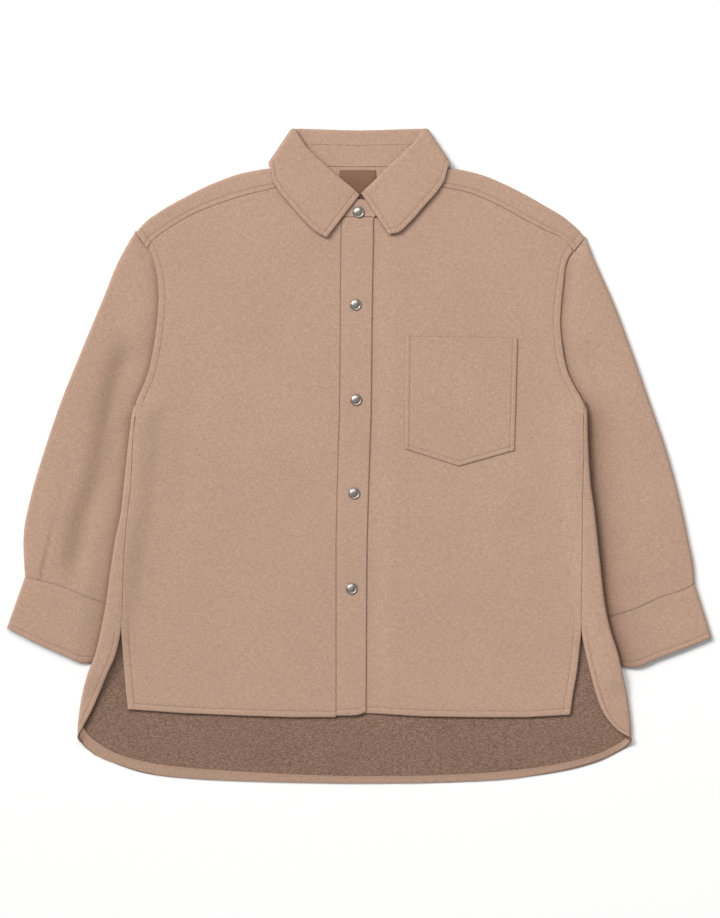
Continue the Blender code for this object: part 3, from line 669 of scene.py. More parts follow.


# Main creases: centre, heading in degrees from X, half length, half width, height
CREASES = {
    "front_right": table(
        "x y heading length width height",
        (-205, 20, 84, 150, 16, -0.5),
        (-160, 215, 28, 70, 14, 0.35),
        (-90, -200, 96, 130, 22, 0.35),
        (-225, -180, 80, 90, 14, 0.4),
        (-120, 120, 65, 90, 20, -0.3),
    ),
    "front_left": table(
        "x y heading length width height",
        (215, 30, 98, 140, 15, -0.5),
        (165, 225, 150, 70, 14, 0.35),
        (95, -190, 84, 130, 22, 0.35),
        (215, -170, 100, 80, 14, 0.4),
        (120, 60, 115, 110, 22, -0.3),
    ),
    "sleeve_right": table(
        "x y heading length width height",
        (-300, 190, 66, 60, 12, 0.5),
        (-372, -60, 74, 70, 9, 0.6),
        (-318, -110, 72, 50, 9, 0.5),
        (-340, 60, 68, 80, 12, 0.4),
    ),
    "sleeve_left": table(
        "x y heading length width height",
        (292, 180, 112, 60, 12, 0.5),
        (350, -30, 106, 90, 11, 0.5),
        (318, -130, 108, 50, 9, 0.5),
        (332, 70, 110, 70, 12, 0.4),
    ),
    "collar_leaf": table(
        "x y heading length width height",
        (-55, 320, 48, 30, 12, 0.35),
        (60, 322, 132, 30, 12, 0.35),
    ),
    "back": table(
        "x y heading length width height",
        (-180, -345, 8, 70, 12, 0.35),
        (60, -350, 176, 90, 12, 0.3),
        (230, -335, 20, 40, 10, 0.3),
    ),
    "yoke": table(
        "x y heading length width height",
        (-160, 300, 28, 40, 9, 0.3),
        (170, 296, 150, 40, 9, 0.3),
    ),
}


def creased(name, x, y):
    """Height that a piece's soft ridges and troughs add at a place."""
    change = np.zeros(np.shape(x))
    if name not in CREASES:
        return change
    rows = CREASES[name]
    for index in range(len(rows["x"])):
        angle = math.radians(rows["heading"][index])
        run = (x - rows["x"][index]) * math.cos(angle) + (y - rows["y"][index]) * math.sin(angle)
        away = (y - rows["y"][index]) * math.cos(angle) - (x - rows["x"][index]) * math.sin(angle)
        near = np.exp(-((run / rows["length"][index]) ** 2) - (away / rows["width"][index]) ** 2)
        change = change + rows["height"][index] * near
    return change


# Materials
def material_nodes(name):
    material = bpy.data.materials.new(name)
    material.use_nodes = True
    tree = material.node_tree
    return material, tree, tree.nodes["Principled BSDF"]


def noise(tree, vector, scale, detail, roughness=0.55, stretch=(1.0, 1.0, 1.0), turn=0.0):
    """Noise on a stretched and turned copy of the coordinates."""
    mapping = tree.nodes.new("ShaderNodeMapping")
    mapping.inputs["Scale"].default_value = stretch
    mapping.inputs["Rotation"].default_value = (0.0, 0.0, turn)
    texture = tree.nodes.new("ShaderNodeTexNoise")
    texture.inputs["Scale"].default_value = scale
    texture.inputs["Detail"].default_value = detail
    texture.inputs["Roughness"].default_value = roughness
    tree.links.new(vector, mapping.inputs["Vector"])
    tree.links.new(mapping.outputs["Vector"], texture.inputs["Vector"])
    return texture.outputs["Fac"]


def ramp(tree, value, low, high, dark, light):
    """A value from dark to light as the input goes from low to high."""
    node = tree.nodes.new("ShaderNodeMapRange")
    node.inputs["From Min"].default_value = low
    node.inputs["From Max"].default_value = high
    node.inputs["To Min"].default_value = dark
    node.inputs["To Max"].default_value = light
    tree.links.new(value, node.inputs["Value"])
    return node.outputs["Result"]


def combine(tree, operation, first, second):
    node = tree.nodes.new("ShaderNodeMath")
    node.operation = operation
    for socket, value in zip(node.inputs, (first, second)):
        if isinstance(value, float):
            socket.default_value = value
        else:
            tree.links.new(value, socket)
    return node.outputs["Value"]


def tinted(tree, color, strength):
    """A colour multiplied by a value that varies over the surface."""
    node = tree.nodes.new("ShaderNodeVectorMath")
    node.operation = "SCALE"
    if isinstance(color, tuple):
        node.inputs[0].default_value = color
    else:
        tree.links.new(color, node.inputs[0])
    tree.links.new(strength, node.inputs["Scale"])
    return node.outputs["Vector"]


def painted_shade_color(tree, color):
    """The cloth's colour with painted shade: deeper where the mesh's painted shade marks folds, seams and places
    in shadow.
    """
    painted_shade = tree.nodes.new("ShaderNodeAttribute")
    painted_shade.attribute_name = "painted_shade"
    node = tree.nodes.new("ShaderNodeVectorMath")
    node.operation = "MULTIPLY_ADD"
    node.inputs[1].default_value = [part * (share - 1) for part, share in zip(color, PAINTED_SHADE_SHARE)]
    node.inputs[2].default_value = color
    tree.links.new(painted_shade.outputs["Fac"], node.inputs[0])
    return node.outputs["Vector"]


def felt(name, color, turn=0.0):
    """Felted wool: mottled fibres over a faint weave, with a soft nap."""
    material, tree, shader = material_nodes(name)
    place = tree.nodes.new("ShaderNodeTexCoord").outputs["Object"]
    patches = ramp(tree, noise(tree, place, 9.0, 2.0), 0.3, 0.7, 0.975, 1.025)
    mottle = noise(tree, place, 620.0, 3.0, 0.65, (1.0, 1.0, 1.0), turn)
    weft = noise(tree, place, 520.0, 2.0, 0.5, (0.35, 1.7, 1.0), turn)
    warp = noise(tree, place, 520.0, 2.0, 0.5, (1.7, 0.35, 1.0), turn)
    fibre = noise(tree, place, 1500.0, 2.0, 0.6, (1.0, 1.0, 1.0), turn + 0.7)
    fleck = noise(tree, place, 480.0, 1.0, 0.5, (0.7, 1.4, 1.0), turn - 0.5)
    tone = combine(tree, "MULTIPLY", patches, ramp(tree, mottle, 0.3, 0.7, 0.87, 1.13))
    tone = combine(tree, "MULTIPLY", tone, ramp(tree, weft, 0.3, 0.7, 0.92, 1.08))
    tone = combine(tree, "MULTIPLY", tone, ramp(tree, warp, 0.3, 0.7, 0.93, 1.07))
    tone = combine(tree, "MULTIPLY", tone, ramp(tree, fibre, 0.3, 0.7, 0.9, 1.1))
    dark = ramp(tree, fleck, 0.7, 0.78, 1.0, 0.82)
    tone = combine(tree, "MULTIPLY", tone, dark)
    # Base colour: the wool's mottling over the painted shade read from the mesh
    tree.links.new(tinted(tree, painted_shade_color(tree, color), tone), shader.inputs["Base Color"])
    rough = ramp(tree, mottle, 0.3, 0.7, 0.9, 1.0)
    tree.links.new(rough, shader.inputs["Roughness"])
    shader.inputs["Specular IOR Level"].default_value = 0.15
    shader.inputs["Sheen Weight"].default_value = 0.18
    shader.inputs["Sheen Roughness"].default_value = 0.6
    shader.inputs["Sheen Tint"].default_value = (0.9, 0.75, 0.64, 1.0)
    height = combine(tree, "ADD", combine(tree, "ADD", mottle, weft), combine(tree, "MULTIPLY", fibre, 0.7))
    bump(tree, shader, height, 0.55, 0.00045)
    return material


def bump(tree, shader, height, strength, distance):
    node = tree.nodes.new("ShaderNodeBump")
    node.inputs["Strength"].default_value = strength
    node.inputs["Distance"].default_value = distance
    tree.links.new(height, node.inputs["Height"])
    tree.links.new(node.outputs["Normal"], shader.inputs["Normal"])


def knit(name, color):
    """The inner face: darker brown, with short sideways loops."""
    material, tree, shader = material_nodes(name)
    place = tree.nodes.new("ShaderNodeTexCoord").outputs["Object"]
    patches = ramp(tree, noise(tree, place, 12.0, 2.0), 0.3, 0.7, 0.96, 1.04)
    loops = noise(tree, place, 700.0, 1.0, 0.5, (0.42, 1.45, 1.0))
    grain = noise(tree, place, 1300.0, 2.0)
    tone = combine(tree, "MULTIPLY", patches, ramp(tree, loops, 0.3, 0.7, 0.6, 1.4))
    tone = combine(tree, "MULTIPLY", tone, ramp(tree, grain, 0.3, 0.7, 0.74, 1.26))
    tree.links.new(tinted(tree, color, tone), shader.inputs["Base Color"])
    tree.links.new(ramp(tree, grain, 0.3, 0.7, 0.9, 1.0), shader.inputs["Roughness"])
    shader.inputs["Specular IOR Level"].default_value = 0.12
    shader.inputs["Sheen Weight"].default_value = 0.12
    shader.inputs["Sheen Roughness"].default_value = 0.6
    bump(tree, shader, combine(tree, "ADD", loops, combine(tree, "MULTIPLY", grain, 0.5)), 0.6, 0.0006)
    return material


def satin(name, color):
    """The label: a tight plain weave with a slight shine."""
    material, tree, shader = material_nodes(name)
    place = tree.nodes.new("ShaderNodeTexCoord").outputs["Object"]
    ribs = noise(tree, place, 900.0, 1.0, 0.5, (0.25, 2.0, 1.0))
    patches = noise(tree, place, 60.0, 2.0)
    tone = combine(
        tree,
        "MULTIPLY",
        ramp(tree, ribs, 0.3, 0.7, 0.88, 1.12),
        ramp(tree, patches, 0.3, 0.7, 0.95, 1.05),
    )
    tree.links.new(tinted(tree, color, tone), shader.inputs["Base Color"])
    tree.links.new(ramp(tree, ribs, 0.3, 0.7, 0.6, 0.75), shader.inputs["Roughness"])
    bump(tree, shader, ribs, 0.4, 0.0003)
    return material


def thread_material(name, color):
    material, tree, shader = material_nodes(name)
    place = tree.nodes.new("ShaderNodeTexCoord").outputs["Object"]
    twist = noise(tree, place, 2200.0, 1.0)
    tree.links.new(tinted(tree, color, ramp(tree, twist, 0.3, 0.7, 0.85, 1.15)), shader.inputs["Base Color"])
    shader.inputs["Roughness"].default_value = 0.75
    shader.inputs["Sheen Weight"].default_value = 0.2
    return material


def nickel(name, color, rough):
    """Darkened nickel, brushed round and a little worn."""
    material, tree, shader = material_nodes(name)
    place = tree.nodes.new("ShaderNodeTexCoord").outputs["Object"]
    wear = noise(tree, place, 500.0, 3.0)
    tree.links.new(tinted(tree, color, ramp(tree, wear, 0.3, 0.7, 0.82, 1.12)), shader.inputs["Base Color"])
    tree.links.new(ramp(tree, wear, 0.3, 0.7, rough, rough + 0.12), shader.inputs["Roughness"])
    shader.inputs["Metallic"].default_value = 1.0
    bump(tree, shader, noise(tree, place, 1500.0, 1.0), 0.05, 0.00005)
    return material


CAMEL = (0.468, 0.308, 0.226)
BROWN = (0.233, 0.143, 0.103)
# Share of each colour channel left where the painted shade is full
PAINTED_SHADE_SHARE = (0.4, 0.34, 0.3)
GRAIN_TURN = {"placket": 1.57, "collar_leaf": 0.8, "sleeve_right": -0.35, "sleeve_left": 0.35, "cuff_right": 0.4}
PIECES = (
    "back yoke front_right front_left placket pocket collar_stand collar_leaf "
    "sleeve_right sleeve_left cuff_right cuff_left back_hem"
).split()
wool = {name: felt(name + "_wool", CAMEL, GRAIN_TURN.get(name, 0.0)) for name in PIECES}
inside_knit = knit("inside_knit", BROWN)
label_weave = satin("label_weave", (0.209, 0.105, 0.06))
thread = thread_material("thread_camel", (0.40, 0.26, 0.185))
metal = nickel("snap_nickel", (0.36, 0.33, 0.30), 0.32)


# Meshes
def mesh_piece(name, verts, faces, materials):
    mesh = bpy.data.meshes.new(name)
    mesh.from_pydata((np.asarray(verts) * MM).tolist(), [], faces)
    mesh.validate()
    mesh.shade_smooth()
    piece = bpy.data.objects.new(name, mesh)
    for material in materials:
        mesh.materials.append(material)
    bpy.context.scene.collection.objects.link(piece)
    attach(piece, "root")
    return piece


def grid_faces(rows, columns, flip):
    corners = np.arange(rows * columns).reshape(rows, columns)
    quads = np.stack((corners[:-1, :-1], corners[:-1, 1:], corners[1:, 1:], corners[1:, :-1]), axis=-1)
    quads = quads.reshape(-1, 4)
    if flip:
        quads = quads[:, ::-1]
    return quads.tolist()


def merge_close(piece, distance=0.00002):
    sheet = bmesh.new()
    sheet.from_mesh(piece.data)
    bmesh.ops.remove_doubles(sheet, verts=sheet.verts, dist=distance)
    sheet.to_mesh(piece.data)
    sheet.free()


def shell(
    name,
    grid,
    painted_shade=None,
    flip=False,
    weld=False,
    thickness=SHELL,
    outer=None,
    lining=None,
):
    """A thin closed wall of cloth on a grid of its outer face."""
    rows, columns = grid.shape[:2]
    materials = [outer or wool[name], lining or inside_knit]
    piece = mesh_piece(
        name + "_cloth", grid.reshape(-1, 3), grid_faces(rows, columns, flip), materials
    )
    # Painted shade, kept on the mesh for the cloth's colour to read
    painted_shade_layer = piece.data.attributes.new("painted_shade", "FLOAT", "POINT")
    if painted_shade is not None:
        painted_shade_layer.data.foreach_set("value", np.clip(painted_shade, 0.0, 1.0).ravel())
    if weld:
        merge_close(piece)
    wall = piece.modifiers.new("Cloth", "SOLIDIFY")
    wall.thickness = thickness * MM
    wall.offset = -1.0
    wall.use_quality_normals = True
    wall.material_offset = 1
    wall.material_offset_rim = 0
    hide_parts(name)
    sewn = threads(name, seams.get(name, []))
    return piece


seams = {}


def sew(name, line, lift=0.12):
    """Keep a line of stitching, given as points on a piece's outer face."""
    seams.setdefault(name, []).append(np.asarray(line)[..., :3] + (0.0, 0.0, lift))


def threads(name, lines):
    """One mesh of short arched stitches along the lines of a piece."""
    if not lines:
        return None
    rings = ((-0.5, -0.32, 0.0), (-0.36, -0.05, 0.85), (0.0, 0.06, 1.0), (0.36, -0.05, 0.85), (0.5, -0.32, 0.0))
    sides = 5
    verts = []
    faces = []
    for line in lines:
        reach = reach_of(line)
        count = int(reach[-1] / STITCH_PITCH)
        for number in range(count):
            middle = (number + 0.5) * reach[-1] / count
            ends = [np.array([np.interp(middle + part, reach, axis) for axis in line.T]) for part in (-0.5, 0.5)]
            centre = (ends[0] + ends[1]) / 2
            way = (ends[1] - ends[0]) / np.linalg.norm(ends[1] - ends[0])
            level = np.cross((0.0, 0.0, 1.0), way)
            level = level / np.linalg.norm(level)
            up = np.cross(way, level)
            start = len(verts)
            for place, rise, size in rings:
                spine = centre + way * place * STITCH_LENGTH + up * rise
                if size == 0.0:
                    verts.append(spine)
                    continue
                for side in range(sides):
                    angle = 2 * math.pi * side / sides
                    round_it = level * math.cos(angle) + up * math.sin(angle)
                    verts.append(spine + THREAD_RADIUS * size * round_it)
            end = start + 1 + 3 * sides
            for side in range(sides):
                after = (side + 1) % sides
                faces.append((start, start + 1 + side, start + 1 + after))
                for ring in range(2):
                    low = start + 1 + ring * sides
                    faces.append((low + after, low + side, low + sides + side, low + sides + after))
                faces.append((end, end - sides + after, end - sides + side))
    return mesh_piece(name + "_stitches", verts, faces, [thread])


def raised(plan, height):
    return np.dstack((plan[..., 0], plan[..., 1], height))


# Folded edges of the back and the yoke
TURN_STEPS = 12
TOP_STEPS = 6


def turned_edge(edge, outward, turn, wrap, radius, rest, tight=False):
    """Rows of points from the flat of a sheet out to its edge, where the cloth turns over by an angle."""
    plan = []
    rise = []
    for point, way, angle, back, bend, floor in zip(edge, outward, np.radians(turn), wrap, radius, rest):
        steps = np.linspace(0.0, 1.0, TURN_STEPS + 1)
        length = bend * (max(angle, 0.9) if tight else math.pi)
        if angle > 0.02:
            round_radius = min(length / angle, 2 * bend / (1 - math.cos(angle)))
            out = round_radius * np.sin(angle * steps)
            up = round_radius * (1 - np.cos(angle * steps))
        else:
            out = length * steps
            up = 0.0 * steps
        rest_length = max(back - bend, 1.0)
        tail = rest_length * np.arange(1, TOP_STEPS + 1) / TOP_STEPS
        out = np.concatenate((out, out[-1] + tail * math.cos(angle)))
        up = np.concatenate((up, up[-1] + tail * math.sin(angle)))
        base = point - way * out.max()
        plan.append(base + np.outer(out, way))
        rise.append(floor + up)
    return np.array(plan), np.array(rise)


FOLD_STEPS = np.concatenate((edge_steps(SEAM_ROLL, 6.5)[:-1], np.arange(10.0, 44.0, 1.5)))
SLIT_STITCH = 6.5
SLIT_TOP = -207.0
SEAM_FOOT = 57.0


# Back panel, cut to wrap forward to the side seams
def back_side(rows, side, places):
    rows = finer(rows, places)
    edge = np.column_stack((side * rows["x"], rows["y"]))
    way = np.column_stack((np.full(len(places), float(side)), rows["lean"]))
    way = way / np.linalg.norm(way, axis=1)[:, None]
    radius = np.full(len(places), SIDE_RADIUS)
    floor = np.zeros(len(places))
    return turned_edge(edge, way, rows["turn"], rows["x"] - rows["seam"], radius, floor)


def make_back():
    places = close_steps(points(BACK_SIDE_RIGHT), FINE)
    right_plan, right_rise = back_side(BACK_SIDE_RIGHT, RIGHT, places)
    left_plan, left_rise = back_side(BACK_SIDE_LEFT, LEFT, places)
    across = np.linspace(0.0, 1.0, 150)
    level = finer(BACK_SIDE_RIGHT, places)["y"]
    down = (level[0] - level) / np.ptp(level)
    first = right_plan[:, 0]
    last = left_plan[:, 0]
    tail = along(np.vstack((first[-1:], points(TAIL), last[-1:])), across)
    top = first[0] + np.outer(across, last[0] - first[0])
    flat = patch(top, tail, first, last, across, down)
    plan = np.concatenate((right_plan[:, :0:-1], flat, left_plan[:, 1:]), axis=1)
    rise = np.concatenate((right_rise[:, :0:-1], np.zeros(flat.shape[:2]), left_rise[:, 1:]), axis=1)
    rise = rise + side_lift(plan[..., 0], plan[..., 1])
    grid = respaced(raised(plan, rise), FOLD_STEPS, FOLD_STEPS, 4.5, 1, 3)
    grid = respaced(grid, PLAIN, edge_steps(TURNED_ROLL), FINE, 0, 3)
    x, y, z, from_right, from_left, _, from_tail = np.moveaxis(grid, -1, 0)
    upper = smooth(z, SIDE_TOP - 2.0, SIDE_TOP - 0.5)
    slit = smooth(y, SLIT_TOP + 8, SLIT_TOP - 8)
    change = np.zeros(z.shape)
    for distance in (from_right, from_left):
        stitched = turned(distance, SLIT_STITCH)
        change = change + upper * (slit * stitched + (1 - slit) * seamed(distance))
    z = z + change
    z = z + np.clip(creased("back", x, y), 0.0, 1.0) * (z < 1.0)
    points3 = np.dstack((x, y, z))
    lower = np.where(y[:, STITCH_INDEX] < SLIT_TOP - 6)[0]
    lower = lower[upper[lower, STITCH_INDEX] > 0.5]
    sew("back", points3[lower, STITCH_INDEX])
    lower = np.where(y[:, -1 - STITCH_INDEX] < SLIT_TOP - 6)[0]
    lower = lower[upper[lower, -1 - STITCH_INDEX] > 0.5]
    sew("back", points3[lower, -1 - STITCH_INDEX])
    # Painted shade where the side edges round over and sink
    return shell("back", points3, sunk_shade(change) * upper)


# Fronts
HEM_STITCH = 7.5
ARMHOLE_STITCH = 9.0
FRONT_FADE = 12
PIT_LIFT = 0.5


def front_panel(name, side, side_rows, hem, height):
    rows = fine_table(side_rows)
    edge = np.column_stack((rows["x"] - SEAM_GAP, rows["y"]))
    down = (rows["y"][0] - rows["y"]) / np.ptp(rows["y"])
    yoke_rows = YOKE_RIGHT if side == RIGHT else YOKE_LEFT
    seam = np.column_stack((yoke_rows["end_x"], yoke_rows["end_y"] - SEAM_GAP - 0.1))[1:10]
    neckline = points(NECKLINE)[::-1][1:]
    if side == RIGHT:
        inner_y = neckline[-1][1] + (hem["y"][0] - neckline[-1][1]) * down
        inner_x = SEAM_GAP - np.interp(-inner_y, -PLACKET["y"], PLACKET["seam"])
        neckline[-1][0] = inner_x[0]
    else:
        neckline = np.vstack((neckline[:-1], ((18.0, 285.0), (OVERLAP_EDGE, 284.6))))
        inner_y = neckline[-1][1] + (hem["y"][0] - neckline[-1][1]) * down
        inner_x = np.full(len(down), OVERLAP_EDGE)
    upper = np.vstack((edge[:1], seam, neckline))
    places = close_steps(upper, FINE)
    upper = np.column_stack([gentle(axis, places) for axis in upper.T])
    across = (upper[0, 0] - upper[:, 0]) / (upper[0, 0] - upper[-1, 0])
    lower_x = edge[-1, 0] + (inner_x[-1] - edge[-1, 0]) * across
    lower = np.column_stack((lower_x, np.interp(lower_x, hem["x"], hem["y"])))
    plan = patch(upper, lower, edge, np.column_stack((inner_x, inner_y)), across, down, FRONT_FADE)
    side_steps = edge_steps(TURNED_ROLL, ARMHOLE_STITCH)
    grid = respaced(plan, side_steps, edge_steps(SEAM_ROLL), FINE, 1)
    grid = respaced(grid, edge_steps(SEAM_ROLL), edge_steps(TURNED_ROLL, HEM_STITCH), FINE, 0)
    x, y, from_side, from_middle, from_top, from_hem = np.moveaxis(grid, -1, 0)
    x = x * side
    armhole = smooth(y, SEAM_FOOT - 2, SEAM_FOOT + 10)
    slit = smooth(y, SLIT_TOP + 8, SLIT_TOP - 8)
    seam_part = (1 - armhole) * (1 - slit)
    change = (armhole + slit) * turned(from_side, ARMHOLE_STITCH) + seam_part * seamed(from_side)
    change = change + seamed(from_top) + turned(from_hem, HEM_STITCH)
    if side == RIGHT:
        change = change + seamed(from_middle)
    pit = smooth(y, 46, 56) * smooth(y, 84, 74) * smooth(from_side, 14, 4)
    z = height(x, y) + change + PIT_LIFT * pit
    inner = smooth(from_side, 4.0, 30.0) * smooth(from_middle, 4.0, 30.0) * smooth(from_hem, 4.0, 20.0)
    z = z + creased(name, x, y) * inner
    points3 = np.dstack((x, y, z))
    column = points3[:, STITCH_INDEX]
    sew(name, column[(column[:, 1] > SEAM_FOOT + 5) & (from_top[:, STITCH_INDEX] > 1)])
    sew(name, column[(column[:, 1] < SLIT_TOP - 4) & (from_hem[:, STITCH_INDEX] > HEM_STITCH - 0.5)])
    hem_line = points3[-1 - STITCH_INDEX]
    shown = (hem_line[:, 0] > 9) if side == LEFT else (hem_line[:, 0] < 0)
    shown = shown & (from_side[-1 - STITCH_INDEX] > ARMHOLE_STITCH - 0.5)
    sew(name, hem_line[shown])
    # Painted shade at the front's sunk edges and seams
    shell(name, points3, sunk_shade(change), flip=side == RIGHT)


# Placket
PLACKET_CORNER = 5.0


def make_placket():
    rows = fine_table(PLACKET, FINE, "edge", "y")
    seam = points(rows, "seam")
    free = points(rows, "edge")
    across = np.linspace(0.0, 1.0, 12)[None, :, None]
    plan = seam[:, None] * (1 - across) + free[:, None] * across
    last_rows = smooth(plan[..., 1], -300, -312)[..., None]
    plan[..., 1:] = plan[..., 1:] + last_rows * PLACKET_CORNER * across**6
    grid = respaced(plan, edge_steps(SEAM_ROLL), edge_steps(TURNED_ROLL), 2.5, 1)
    grid = respaced(grid, PLAIN, edge_steps(TURNED_ROLL, HEM_STITCH), FINE, 0)
    x, y, from_seam, from_edge, _, from_hem = np.moveaxis(grid, -1, 0)
    change = seamed(from_seam) + turned(from_edge) + turned(from_hem, HEM_STITCH)
    points3 = np.dstack((x, y, placket_height(x, y) + change))
    sew("placket", points3[-1 - STITCH_INDEX])
    # Painted shade at the sunk edges and a darker painted line along the seam
    painted_shade = sunk_shade(change) + 0.3 * np.exp(-((from_seam / 1.2) ** 2))
    shell("placket", points3, painted_shade, flip=True)


# Patch pocket
POCKET_STITCH = 6.0


def make_pocket():
    top = points(POCKET_TOP)
    low = points(POCKET_BOTTOM)
    across = np.linspace(0.0, 1.0, 61)
    upper = top[0] + np.outer(across, top[1] - top[0])
    lower = np.column_stack([np.interp(across, (0.0, 0.5, 1.0), axis) for axis in low.T])
    down = np.linspace(0.0, 1.0, 41)[:, None, None]
    plan = upper[None] * (1 - down) + lower[None] * down
    steps = edge_steps(TURNED_ROLL, POCKET_STITCH)
    grid = respaced(plan, steps, steps, FINE, 1)
    grid = respaced(grid, edge_steps(TURNED_ROLL), steps, FINE, 0)
    x, y, from_left, from_right, from_top, from_tip = np.moveaxis(grid, -1, 0)
    rest = overlap_height(x, y) + creased("front_left", x, y) + LAYER_GAP + CLOTH
    change = turned(from_top) + turned(from_tip, POCKET_STITCH)
    change = change + turned(from_left, POCKET_STITCH) + turned(from_right, POCKET_STITCH)
    points3 = np.dstack((x, y, rest + change))
    inside = from_tip[:, STITCH_INDEX] > POCKET_STITCH - 0.5
    sew("pocket", points3[inside, STITCH_INDEX])
    sew("pocket", points3[inside, -1 - STITCH_INDEX])
    bottom = slice(STITCH_INDEX, -STITCH_INDEX)
    sew("pocket", points3[-1 - STITCH_INDEX, bottom])
    # Painted shade at the pocket's sunk edges and stitching
    shell("pocket", points3, sunk_shade(change), flip=True)


# Yoke
YOKE_STITCH = 6.0


def yoke_side(rows, side):
    places = close_steps(points(rows), FINE)
    rows = finer(rows, places)
    edge = np.column_stack((side * rows["x"], rows["y"]))
    end = np.column_stack((side * rows["end_x"], rows["end_y"]))
    return edge, end, rows["turn"]


def make_yoke():
    right_edge, right_end, right_turn = yoke_side(YOKE_RIGHT, RIGHT)
    left_edge, left_end, left_turn = yoke_side(YOKE_LEFT, LEFT)
    middle_x = np.linspace(-24.0, 24.0, 13)
    middle = np.column_stack((middle_x, NECK_BACK + 0.2 * (middle_x / 28.0) ** 2))
    edge = np.vstack((right_edge, middle, left_edge[::-1]))
    end = np.vstack((right_end, middle, left_end[::-1]))
    turn = np.concatenate((right_turn, np.zeros(len(middle)), left_turn[::-1]))
    run = np.gradient(edge, axis=0)
    way = np.column_stack((-run[:, 1], run[:, 0]))
    way = way / np.linalg.norm(way, axis=1)[:, None]
    straight = smooth(np.abs(edge[:, 0]), 92, 84)[:, None]
    way = way * (1 - straight) + np.array([0.0, 1.0]) * straight
    way = way / np.linalg.norm(way, axis=1)[:, None]
    rest = yoke_rest(edge[:, 0], edge[:, 1])
    bend = (front_height(edge[:, 0], edge[:, 1]) - rest) / 2
    plan, rise = turned_edge(edge, way, turn, np.zeros(len(edge)), bend, rest, tight=True)
    over = turn > 179
    flap = np.arange(1, TOP_STEPS + 1)[None, :, None] / TOP_STEPS
    start = plan[over, TURN_STEPS][:, None]
    plan[over, TURN_STEPS + 1 :] = start + (end[over][:, None] - start) * flap
    upper_plan = plan[over, TURN_STEPS + 1 :]
    rise[over, TURN_STEPS + 1 :] = front_height(upper_plan[..., 0], upper_plan[..., 1])
    low = np.column_stack((edge[:, 0] * 243.0 / 269.0, np.full(len(edge), YOKE_BACK_SEAM)))
    up = np.linspace(0.0, 1.0, 31)[:-1][None, :, None]
    below = low[:, None] + (plan[:, :1] - low[:, None]) * up
    plan = np.concatenate((below, plan), axis=1)
    rise = np.concatenate((yoke_rest(below[..., 0], below[..., 1]), rise), axis=1)
    near = np.concatenate((edge_steps(SEAM_ROLL, YOKE_STITCH), np.arange(12.0, 44.0, 2.0)))
    grid = respaced(raised(plan, rise), PLAIN, near, FINE, 1, 3)
    ends = edge_steps(SEAM_ROLL, ARMHOLE_STITCH)
    grid = respaced(grid, ends, ends, FINE, 0, 3)
    x, y, z, _, from_end, from_right, from_left = np.moveaxis(grid, -1, 0)
    width = np.abs(x)
    front_part = smooth(width[:, -1], 79, 84)[:, None]
    upper = smooth(z, yoke_rest(x, y) + 2.0, yoke_rest(x, y) + 3.5)
    change = seamed(from_end, YOKE_STITCH) + seamed(from_right, ARMHOLE_STITCH) + seamed(from_left, ARMHOLE_STITCH)
    change = front_part * upper * change
    z = z + change + front_part * upper * creased("yoke", x, y)
    points3 = np.dstack((x, y, z))
    line = points3[:, -1 - STITCH_INDEX]
    for side in (RIGHT, LEFT):
        sew("yoke", line[side * line[:, 0] > 86])
    for row in (STITCH_INDEX, -1 - STITCH_INDEX):
        shown = (upper[row] > 0.9) & (from_end[row] > YOKE_STITCH)
        sew("yoke", points3[row, shown])
    # Painted shade at the yoke's sunk seams and stitching
    shell("yoke", points3, sunk_shade(change), lining=wool["yoke"])


# Sleeves and cuffs
def tube_places(length):
    """Shares of a row's length from the inner side to the outer fold, close together at both rounds."""
    quarter = 1 - np.cos(np.linspace(0.0, math.pi / 2, 7))
    near = min(SLEEVE_TUCK_TOP / 2, 0.3 * length) / length
    far = min(SLEEVE_RADIUS, 0.4 * length) / length
    between = np.linspace(near, 1 - far, 34)[1:-1]
    where = np.concatenate((near * quarter, between, 1 - far * quarter[::-1]))
    near_share = np.sqrt(1 - (1 - np.clip(where / near, 0, 1)) ** 2)
    far_share = np.sqrt(1 - (1 - np.clip((1 - where) / far, 0, 1)) ** 2)
    return where, near_share, far_share


def pressed_tube(upper_inner, lower_inner, outer, joined, bow, top_height):
    """Rows of points: above from the inner side to the outer fold, then back below to the inner side."""
    grid = []
    for index in range(len(outer)):
        row = []
        for inner, sign in ((upper_inner[index], 1), (lower_inner[index], -1)):
            length = np.linalg.norm(outer[index] - inner)
            where, near_share, far_share = tube_places(length)
            share = far_share * (near_share if joined[index] else 1.0)
            plan = inner + np.outer(where, outer[index] - inner) + bow(index, where)
            high, low = top_height(plan, where * length, index)
            middle = (high + low) / 2
            row.append(np.column_stack((plan, middle + sign * share * (high - low) / 2)))
        grid.append(np.vstack((row[0], row[1][-2::-1])))
    return np.array(grid)


def bulge(curve):
    """How far a curve, read backward, bows from the straight line between its ends."""
    back = np.asarray(curve)[::-1]

    def at(where):
        return along(back, where) - (back[0] + np.outer(where, back[-1] - back[0]))

    return at


def sleeve_height(plan, inside):
    """Outer face of a sleeve's upper layer: low where it lies under the body, full farther out."""
    under = smooth(plan[:, 1], 60, 15)
    low = -6.0 + 15.5 * under
    return SLEEVE_TUCK_TOP + (SLEEVE_TOP - SLEEVE_TUCK_TOP) * smooth(inside, low, low + 28.0)


SLEEVE_TUCK = 5.0
CUFF_LAP = 4.0
# Pleat at the right cuff: from its upper end to the cuff seam
PLEAT = table("x y", (-366.5, -72), (-384.5, -152))
PLEAT_HEIGHT = 1.1


def pleat_place(plan):
    """Distance from the pleat's line, and how far it has grown toward the cuff."""
    start, end = points(PLEAT)
    way = (end - start) / np.linalg.norm(end - start)
    away = (plan - start) @ np.array([-way[1], way[0]])
    return away, smooth((plan - start) @ way, -25.0, 75.0)


